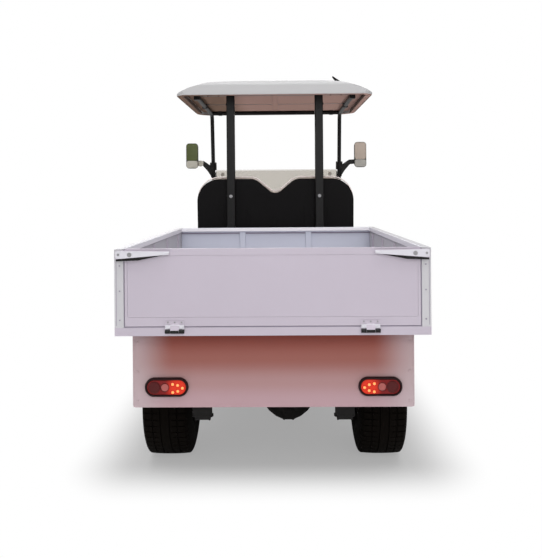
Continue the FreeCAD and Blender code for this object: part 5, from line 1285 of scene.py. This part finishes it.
def make_cabin():
    """Dash bins, switches and slots, mat ribs, pedal treads and sill trims."""
    bins = Shape()
    for x0, x1 in DASH_BINS:
        dash_panel(bins, x0, x1, 0.878, 0.928, 0.0015)
    dash_panel(bins, -0.44, -0.3, 0.882, 0.922, 0.0015)
    bins.done("dash_bins", "floor_plate", bevel=0.003, segments=3)
    knobs = Shape()
    for x in (-0.105, -0.085):
        knobs.rod(dash_point(x, 0.905, -0.003), dash_point(x, 0.905, 0.013), 0.0085, 0.007, sides=24)
    for x in (-0.412, -0.385, -0.358):
        dash_panel(knobs, x - 0.009, x + 0.009, 0.89, 0.914, 0.006)
    knobs.done("dash_switches", "grip_rubber", bevel=0.0015, smooth=40)
    lips = Shape()
    for x0, x1 in DASH_BINS:
        for z0, z1 in ((0.8725, 0.8785), (0.9275, 0.9325)):
            dash_panel(lips, x0 - 0.005, x1 + 0.005, z0, z1, 0.005)
    for x in (-0.3, -0.1, 0.1, 0.3):
        for y in (0.97, 0.981):
            lips.box((x - 0.06, y, 0.9765), (x + 0.06, y + 0.005, 0.979))
    lips.done("dash_lips", "black_plastic", bevel=0.0012, smooth=40)
    mats = Shape()
    start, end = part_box("seat_base")[1].y - 0.045, 0.985
    for index in range(MAT_RIBS):
        x = -0.506 + MAT_PITCH * index
        mats.box((x - 0.009, start + 0.025, 0.4455), (x + 0.009, end, 0.4488))
    mats.done("mat_ribs", "grip_rubber", bevel=0.0012)
    slope = Vector((0, 1, 1)).normalized()
    normal = Vector((0, -1, 1)).normalized()
    toe = Shape()
    turn = Matrix((Vector(RIGHT), slope, normal)).transposed()
    for index in range(MAT_RIBS):
        x = -0.506 + MAT_PITCH * index
        if -0.25 < x < -0.18:
            continue
        middle = Vector((x, 0.992, 0.446)) + slope * 0.125 + normal * 0.0012
        toe.box(middle - Vector((0.009, 0.105, 0.0022)), middle + Vector((0.009, 0.105, 0.0022)), turn)
    toe.done("toe_ribs", "grip_rubber", bevel=0.0012)
    treads = Shape()
    for x in (-0.29, -0.14):
        for row in range(6):
            place = Vector((x, 1.055, 0.53)) + normal * 0.034 + slope * (-0.046 + 0.0184 * row)
            treads.box(place - Vector((0.029, 0.0042, 0.0022)), place + Vector((0.029, 0.0042, 0.0022)),
                       turn)
    treads.done("pedal_treads", "grip_rubber", bevel=0.0012)
    sills = Shape()
    for sign in SIDES:
        x = sign * 0.57
        sills.box((sign * 0.556, 0.54, 0.4392), (sign * 0.584, 0.985, 0.4425))
        for index in range(5):
            y = 0.585 + 0.09 * index
            sills.box((x - 0.01, y - 0.006, 0.442), (x + 0.01, y + 0.006, 0.444))
    sills.done("sill_plates", "bed_rail", bevel=0.001)


make_steering()
make_cabin()


# Front body: cowl, headlamps and bumper

HEADLAMP_X = 0.4
LAMP_EDGE_Y = 1.735
HOOD_SEAM = 0.0024
GRILLE_SLATS = 5
GRILLE_LOW = 0.474
GRILLE_PITCH = 0.02
FAR_AHEAD = 2.2
BUMPER_BOLT_X = 0.16


def tree_of(node):
    graph = bpy.context.evaluated_depsgraph_get()
    thing = NODES[node]
    mesh = thing.evaluated_get(graph).to_mesh()
    corners = [thing.matrix_world @ vertex.co for vertex in mesh.vertices]
    return BVHTree.FromPolygons(corners, [tuple(polygon.vertices) for polygon in mesh.polygons])


def met(tree, starts, heading=BACK):
    """The points where rays meet a node's surface, without those that miss it."""
    hits = [tree.ray_cast(Vector(start), Vector(heading))[0] for start in starts]
    return [hit for hit in hits if hit is not None]


def spread(start, end, count):
    """Evenly spread points on the line between two points."""
    return [Vector(start) + (Vector(end) - Vector(start)) * (k / (count - 1)) for k in range(count)]


def make_front(cowl, lamps, bumper):
    """Seams over the hood, a slatted grille, the headlamps' bezels, bowls and bulbs, and bumper trim."""
    seams = Shape()
    for sign in SIDES:
        seams.tube(met(cowl, spread((sign * 0.3, 1.09, 1.4), (sign * 0.35, 1.69, 1.4), 30), BELOW),
                   HOOD_SEAM, sides=8)
    seams.tube(met(cowl, spread((-0.42, FAR_AHEAD, 0.59), (0.42, FAR_AHEAD, 0.59), 30)), HOOD_SEAM, sides=8)
    seams.done("cowl_seams", "frame_black", smooth=60)
    grille = Shape()
    for row in range(GRILLE_SLATS):
        z = GRILLE_LOW + GRILLE_PITCH * row
        grille.tube(met(cowl, spread((-0.25, FAR_AHEAD, z), (0.25, FAR_AHEAD, z), 20)), 0.0052, sides=10)
    grille.done("grille_slats", "black_plastic", smooth=50)
    bowls, bezels, bulbs = (Shape() for _ in range(3))
    centre_z = (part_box("headlamps")[0].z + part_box("headlamps")[1].z) / 2
    for sign in SIDES:
        x = sign * HEADLAMP_X
        rim = []
        for u, v in rounded(0.142, 0.068, 0.026, 8):
            edge = Vector((x + u, LAMP_EDGE_Y, centre_z + v))
            rim += met(lamps, [(edge.x, FAR_AHEAD, edge.z)]) or [edge]
        bezels.tube(rim, 0.004, sides=10, loop=True)
        for place in met(lamps, [(x + dx, FAR_AHEAD, centre_z) for dx in (-0.033, 0.033)]):
            bowls.lathe([(0.001, 0.0235), (0.003, 0.0265), (-0.004, 0.0265), (-0.004, 0.006),
                         (0.0005, 0.008)], place, AHEAD, sides=36, closed=True)
            bulbs.ball(place + Vector((0, 0.0005, 0)), 0.0095, squash=(1, 0.5, 1))
    bezels.done("headlamp_bezels", "black_plastic", smooth=60)
    bowls.done("headlamp_bowls", "chrome", smooth=40)
    bulbs.done("headlamp_bulbs", "lamp_clear", smooth=60)
    caps = Shape()
    for sign in SIDES:
        hex_bolts(caps, [(sign * BUMPER_BOLT_X, 1.78, z) for z in (0.36, 0.4)], AHEAD, 0.007, 0.0026)
    caps.done("bumper_bolts", "zinc", bevel=0.0005, smooth=30)
    strip = Shape()
    line = met(bumper, spread((-0.43, FAR_AHEAD, 0.38), (0.43, FAR_AHEAD, 0.38), 40))
    strip.tube([point - Vector((0, 0.0032, 0)) for point in line], 0.006, sides=10)
    strip.done("bumper_strip", "grip_rubber", smooth=60)


make_front(tree_of("front_cowl"), tree_of("headlamps"), tree_of("front_bumper"))


# Underside: springs, axles, drive, brakes and frame

REAR_Y = JOINTS["rear_left_spin"]["pos_m"][1]
FRONT_Y = JOINTS["front_left_spin"]["pos_m"][1]
KINGPIN_X = 0.33
ARM_END_Y = FRONT_Y - 0.11
LOOM_X = 0.262
LOOM_BED_Z = 0.545
RAIL_SIDE_X = 0.317
COVER_BOLTS = 14
MOTOR_FINS = 9
MOTOR_BOLTS = 6

# Each pair: distance from the middle, axle, clamp's top and bottom, half its width, eyes' height and reach.
SPRINGS = ((0.292, REAR_Y, 0.36, 0.233, 0.033, 0.3295, 0.5),
           (0.16, FRONT_Y, 0.345, 0.244, 0.03, 0.3115, 0.32))


def make_springs():
    """U-bolts and plates at each axle, and eye bolts through the shackles."""
    bolts = Shape()
    plates = Shape()
    for sign in SIDES:
        for aside, y, top, bottom, half, eye_z, reach in SPRINGS:
            x = sign * aside
            for dx in (-half, half):
                for dy in (-0.034, 0.034):
                    bolts.rod((x + dx, y + dy, bottom - 0.01), (x + dx, y + dy, top + 0.004), 0.0045,
                              sides=14)
                    hex_bolts(bolts, [(x + dx, y + dy, bottom)], BELOW, 0.0085, 0.0075)
                bolts.tube([(x + dx, y - 0.034, top + 0.002), (x + dx, y + 0.034, top + 0.002)], 0.0045,
                           sides=12)
            plates.box((x - half - 0.01, y - 0.046, bottom), (x + half + 0.01, y + 0.046, bottom + 0.007))
            for end in (-1, 1):
                bolts.rod((x - 0.043, y + reach * end, eye_z), (x + 0.043, y + reach * end, eye_z), 0.0065,
                          sides=18)
                for side in (-1, 1):
                    hex_bolts(bolts, [(x + 0.031 * side, y + reach * end, eye_z)], (side, 0, 0), 0.01,
                              0.008)
    plates.done("spring_plates", "spring_steel", bevel=0.0015)
    bolts.done("spring_bolts", "spring_steel", bevel=0.0005, smooth=40)


def make_axles():
    """Diff flanges, bolts and plug, weld beads, brake plates and cables, drums and the kingpins' caps."""
    cover = Shape()
    centre = Vector((0.065, REAR_Y, WHEEL_Z))
    for along in (-0.0215, 0.0215):
        cover.ring([(along - 0.004, 0.1275), (along - 0.004, 0.13), (along + 0.004, 0.13),
                    (along + 0.004, 0.1275)], centre, sides=72)
    for index in range(COVER_BOLTS):
        place = around(centre, 0.1215, 2 * math.pi * index / COVER_BOLTS, 0.0255)
        cover.rod(place, place + Vector((0.0045, 0, 0)), 0.0055, sides=6)
    plug = centre + Vector((0, -0.118, -0.046))
    cover.rod(plug, plug + Vector((0, -0.0125, -0.005)), 0.0095, sides=6)
    for sign in SIDES:
        for radius, x in ((0.0405, 0.065 + sign * 0.124), (0.04, sign * 0.33), (0.04, sign * 0.254)):
            cover.lathe([(-0.004, 0.0365), (0.0, radius), (0.004, 0.0365)], (x, REAR_Y, WHEEL_Z), RIGHT,
                        sides=40)
    cover.done("diff_details", "axle_iron", bevel=0.0005, smooth=45)
    plates = Shape()
    for sign in SIDES:
        plates.ring([(0.0, 0.036), (0.0, 0.094), (0.0035, 0.096), (0.0035, 0.036)],
                    (sign * 0.404 - 0.00175, REAR_Y, WHEEL_Z), sides=56)
        plates.tube(bend_path([((sign * 0.398, REAR_Y + 0.05, WHEEL_Z + 0.03), 0),
                               ((sign * 0.375, REAR_Y + 0.052, WHEEL_Z + 0.055), 0.012),
                               ((sign * 0.3, REAR_Y + 0.052, WHEEL_Z + 0.055), 0.012),
                               ((sign * 0.24, REAR_Y + 0.3, WHEEL_Z + 0.13), 0.03),
                               ((sign * 0.24, REAR_Y + 0.56, WHEEL_Z + 0.15), 0)], 6), 0.005, sides=12)
    plates.done("brake_plates", "axle_iron", smooth=45)
    for corner in CORNERS:
        wheel = wheel_centre(corner)
        drum = Shape()
        drum.ring([(-0.08, 0.085), (-0.08, 0.0925), (-0.05, 0.0925), (-0.044, 0.088), (-0.04, 0.047),
                   (-0.0475, 0.047), (-0.05, 0.085)], wheel, 1 if wheel.x > 0 else -1, 64)
        drum.done("drum_" + corner, "axle_iron", body="wheel_" + corner, smooth=40)
    for sign, side in ((-1, "left"), (1, "right")):
        plate = Shape()
        plate.ring([(0.0, 0.02), (0.0, 0.088), (0.003, 0.09), (0.003, 0.02)],
                   (sign * 0.392 - 0.0015, FRONT_Y, WHEEL_Z), sides=56)
        x = sign * KINGPIN_X
        hex_bolts(plate, [(x, ARM_END_Y, 0.2228)], BELOW, 0.01, 0.008)
        plate.rod((x, ARM_END_Y, 0.2455), (x, ARM_END_Y, 0.2485), 0.012)
        plate.done("knuckle_details_" + side, "axle_iron", body=BODY_OF["knuckle_" + side], smooth=45)
    caps = Shape()
    for sign in SIDES:
        x = sign * KINGPIN_X
        caps.rod((x, FRONT_Y, 0.3366), (x, FRONT_Y, 0.3405), 0.015, 0.012, sides=28)
        caps.rod((x, FRONT_Y, 0.34), (x, FRONT_Y, 0.3475), 0.0035, sides=14)
        caps.ball((x, FRONT_Y, 0.3485), 0.004, sides=14)
        caps.rod((x, FRONT_Y, 0.2224), (x, FRONT_Y, 0.219), 0.014, 0.011, sides=28)
    caps.done("kingpin_caps", "zinc", smooth=45)


def make_drive():
    """The motor's end bell, bolts, fins and terminals, with its cables run along the frame."""
    centre = Vector((-0.115, REAR_Y + 0.232, WHEEL_Z + 0.02))
    start = -0.255
    fins = Shape()
    for index in range(MOTOR_FINS):
        x = start + 0.06 + 0.02 * index
        fins.ring([(-0.0022, 0.0905), (-0.0015, 0.0965), (0.0015, 0.0965), (0.0022, 0.0905)],
                  (x, centre.y, centre.z), sides=64)
    for index in range(MOTOR_BOLTS):
        angle = 2 * math.pi * (index + 0.5) / MOTOR_BOLTS
        place = around(Vector((start, centre.y, centre.z)), 0.066, angle)
        fins.rod(place, place - Vector((0.006, 0, 0)), 0.0062, sides=6)
    fins.lathe([(0.001, 0.03), (-0.007, 0.028), (-0.009, 0.02), (-0.0095, 0.0004)],
               (start, centre.y, centre.z), RIGHT, sides=40)
    fins.done("motor_fins", "axle_iron", bevel=0.0004, smooth=45)
    studs = Shape()
    cables = Shape()
    power = Shape()
    for index, x in enumerate((-0.19, -0.145, -0.1)):
        foot = Vector((x, centre.y - 0.02, centre.z + 0.088))
        studs.rod(foot, foot + Vector((0, 0, 0.014)), 0.009, sides=20)
        studs.rod(foot + Vector((0, 0, 0.012)), foot + Vector((0, 0, 0.024)), 0.0045, sides=14)
        studs.rod(foot + Vector((0, 0, 0.015)), foot + Vector((0, 0, 0.02)), 0.0075, sides=6)
        path = bend_path([(foot + Vector((0, 0, 0.018)), 0), (foot + Vector((0, 0.06, 0.06)), 0.025),
                          ((-0.235, -0.62 - 0.014 * index, 0.5), 0.05),
                          ((-0.24, -0.02, 0.47 + 0.014 * index), 0)], 8)
        (power if index == 0 else cables).tube(path, 0.0062, sides=12)
    studs.done("motor_studs", "zinc", bevel=0.0004, smooth=40)
    power.done("power_cable", "cable_orange", smooth=60)
    cables.done("drive_cables", "grip_rubber", smooth=60)


def make_frame():
    """Bolts along the frame rails, and the wiring loom with its clips and the tail lamps' leads."""
    bolts = Shape()
    rows = (((-1.55, -1.2, -0.8, -0.4, -0.1), (0.5, 0.555)), ((0.05, 0.3, 0.62, 0.9), (0.365, 0.415)))
    for sign in SIDES:
        for ys, heights in rows:
            places = [(sign * RAIL_SIDE_X, y, z) for y in ys for z in heights]
            hex_bolts(bolts, places, (sign, 0, 0), 0.008, 0.0065)
    bolts.done("frame_bolts", "zinc", bevel=0.0006, smooth=30)
    clips = Shape()
    loom = bend_path([((LOOM_X, -1.63, LOOM_BED_Z), 0), ((LOOM_X, -0.3, LOOM_BED_Z), 0.06),
                      ((LOOM_X, -0.06, 0.45), 0.06), ((LOOM_X, 0.5, 0.425), 0)], 8)
    clips.tube(loom, 0.007, sides=12)
    for y in (-1.5, -1.1, -0.7, -0.35):
        clips.box((0.256, y - 0.008, 0.536), (0.2675, y + 0.008, 0.554))
    for sign in SIDES:
        x = sign * LAMP_X
        clips.tube(bend_path([((x, -1.6735, 0.459), 0), ((x, -1.64, 0.459), 0.012),
                              ((x, -1.64, LOOM_BED_Z), 0.012), ((sign * LOOM_X, -1.63, LOOM_BED_Z), 0)], 6),
                   0.0045, sides=10)
        clips.rod((x, -1.6725, 0.459), (x, -1.66, 0.459), 0.016, sides=28)
    clips.done("wiring_loom", "grip_rubber", smooth=50)


make_springs()
make_axles()
make_drive()
make_frame()


# Rounded edges of the CAD pieces

# The width, and the bevel's segments and least angle where they aren't the usual ones.
SOFT_EDGES = {
    "tailgate": (0.0016,), "bed_sides": (0.003,), "bed_headboard": (0.003,), "bed_floor": (0.002,),
    "rear_panel": (0.003,), "rear_skirts": (0.003,), "roof_canopy": (0.004, 3, 50), "rear_posts": (0.002,),
    "aerial": (0.001,), "seat_back_shell": (0.005, 3), "seat_base": (0.004,), "steering_column": (0.0015,),
    "dashboard": (0.006, 3, 30), "floor_pan": (0.0015,), "rocker_panels": (0.003,), "pedals": (0.002,),
    "front_cowl": (0.0025, 2, 48), "front_bumper": (0.004, 3), "headlamps": (0.003,), "rear_axle": (0.003,),
    "drive_motor": (0.003,), "leaf_springs": (0.0012,), "front_axle": (0.003,), "knuckle_left": (0.002,),
    "knuckle_right": (0.002,), "tie_rod": (0.0015,), "frame_rails": (0.004,), "cross_members": (0.002,),
    "battery_pack": (0.004,),
}

for node, edge in SOFT_EDGES.items():
    soften(node, *edge)


# Stage, light and camera

CAMERA_BACK = 2.7
CAMERA_HEIGHT = 1.24
CAMERA_SIDE = 0.038
FOCAL_PIXELS = 684.8
FRAME_HEIGHT_PIXELS = 558
SENSOR = 36.0
YAW_LEFT = 0.85
ROLL = -0.45
SHIFT_Y = -0.1523


def make_camera():
    data = bpy.data.cameras.new("camera")
    data.sensor_width = SENSOR
    data.lens = FOCAL_PIXELS * SENSOR / FRAME_HEIGHT_PIXELS
    data.shift_y = SHIFT_Y
    camera = bpy.data.objects.new("camera", data)
    bpy.context.scene.collection.objects.link(camera)
    camera.location = (CAMERA_SIDE, GATE_FACE_Y - CAMERA_BACK, CAMERA_HEIGHT)
    look = Matrix.Rotation(math.radians(YAW_LEFT), 4, "Z")
    tilt = Matrix.Rotation(math.radians(90), 4, "X")
    roll = Matrix.Rotation(math.radians(ROLL), 4, "Z")
    camera.rotation_euler = (look @ tilt @ roll).to_euler()
    bpy.context.scene.camera = camera


SKY_STRENGTH = 0.62
FLOOR_HALF = 30
# The flat glow of the painted shadow under the cart, and where that painted shadow fades out into white at
# the sides, back and front.
SHADOW_GLOW_LIFT = 0.34
FADE_SIDE, FADE_SIDE_WIDTH = 0.61, 0.37
FADE_BACK, FADE_BACK_WIDTH = 1.28, 0.46
FADE_FRONT, FADE_FRONT_WIDTH = 1.5, 0.55


def make_world():
    """Plain white to the eye and a soft, slightly graded sky as light."""
    world = bpy.data.worlds.new("studio")
    bpy.context.scene.world = world
    world.use_nodes = True
    tree = world.node_tree
    place = add_node(tree, "ShaderNodeTexCoord").outputs["Generated"]
    up = ramp_between(tree, coordinate(tree, place, "Z"), -0.5, 0.7)
    sky = mix_colour(tree, up, (0.3, 0.27, 0.26, 1), (1.0, 0.99, 0.99, 1))
    light = tree.nodes["Background"]
    feed(tree, light, {"Color": sky, "Strength": SKY_STRENGTH})
    path = add_node(tree, "ShaderNodeLightPath")
    seen = math_node(tree, "MAXIMUM", path.outputs["Is Camera Ray"], path.outputs["Is Transmission Ray"])
    white = add_node(tree, "ShaderNodeBackground", {"Color": (1, 1, 1, 1)})
    mixed = mix_shader(tree, seen, light.outputs["Background"], white.outputs["Background"])
    feed(tree, tree.nodes["World Output"], {"Surface": mixed})


def make_light(name, place, target, size, power):
    data = bpy.data.lights.new(name, "AREA")
    data.shape = "RECTANGLE"
    data.size, data.size_y = size
    data.energy = power
    lamp = bpy.data.objects.new(name, data)
    bpy.context.scene.collection.objects.link(lamp)
    lamp.location = place
    lamp.rotation_euler = (Vector(target) - Vector(place)).to_track_quat("-Z", "Y").to_euler()


def beyond(tree, value, start, width):
    """0 up to the start, and from there on the distance past it as a share of the width."""
    return times(tree, math_node(tree, "MAXIMUM", math_node(tree, "SUBTRACT", value, start), 0.0),
                 1 / width)


def make_floor():
    """A floor with a painted shadow: near the cart the camera sees it dark with a flat glow added, fading out
    into the white behind it; to other rays it is white.
    """
    mesh = bpy.data.meshes.new("floor")
    far = FLOOR_HALF
    mesh.from_pydata([(-far, -far, 0), (far, -far, 0), (far, far, 0), (-far, far, 0)], [], [(0, 1, 2, 3)])
    floor = bpy.data.objects.new("floor", mesh)
    bpy.context.scene.collection.objects.link(floor)
    tree, shader = node_material("floor_white")
    # Painted shadow: the camera sees a dark floor, albedo 0.25, with a flat glow on it near the cart; other
    # rays see a white floor, albedo 0.93.
    seen = add_node(tree, "ShaderNodeLightPath").outputs["Is Camera Ray"]
    painted_shadow_albedo = mix_colour(tree, seen, (0.93, 0.93, 0.93, 1), (0.25, 0.25, 0.25, 1))
    feed(tree, shader, {"Base Color": painted_shadow_albedo, "Roughness": 1.0, "Specular IOR Level": 0.0})
    place = add_node(tree, "ShaderNodeNewGeometry").outputs["Position"]
    aside = math_node(tree, "ABSOLUTE", coordinate(tree, place, "X"))
    ahead = coordinate(tree, place, "Y")
    reach = distance(tree, beyond(tree, aside, FADE_SIDE, FADE_SIDE_WIDTH),
                     beyond(tree, times(tree, ahead, -1.0), FADE_BACK, FADE_BACK_WIDTH),
                     beyond(tree, ahead, FADE_FRONT, FADE_FRONT_WIDTH))
    fade = times(tree, ramp_between(tree, reach, 0.0, 1.0), seen)
    lift = add_node(tree, "ShaderNodeEmission", {"Strength": times(tree, seen, SHADOW_GLOW_LIFT)})
    lit = add_node(tree, "ShaderNodeAddShader", {0: shader.outputs["BSDF"], 1: lift.outputs["Emission"]})
    white = add_node(tree, "ShaderNodeEmission")
    mixed = mix_shader(tree, fade, lit.outputs["Shader"], white.outputs["Emission"])
    feed(tree, tree.nodes["Material Output"], {"Surface": mixed})
    floor.data.materials.append(MATERIALS["floor_white"])


make_world()
make_floor()
make_light("overhead", (0, -1.6, 5.2), (0, -0.8, 0), (5, 5), 210)
make_light("behind", (0.6, -7.5, 3.4), (0, -1, 0.9), (5, 3.5), 150)
make_light("front", (-1, 7, 4), (0, 1, 0.9), (5, 4), 140)
make_camera()
bpy.context.scene.view_settings.view_transform = "Standard"
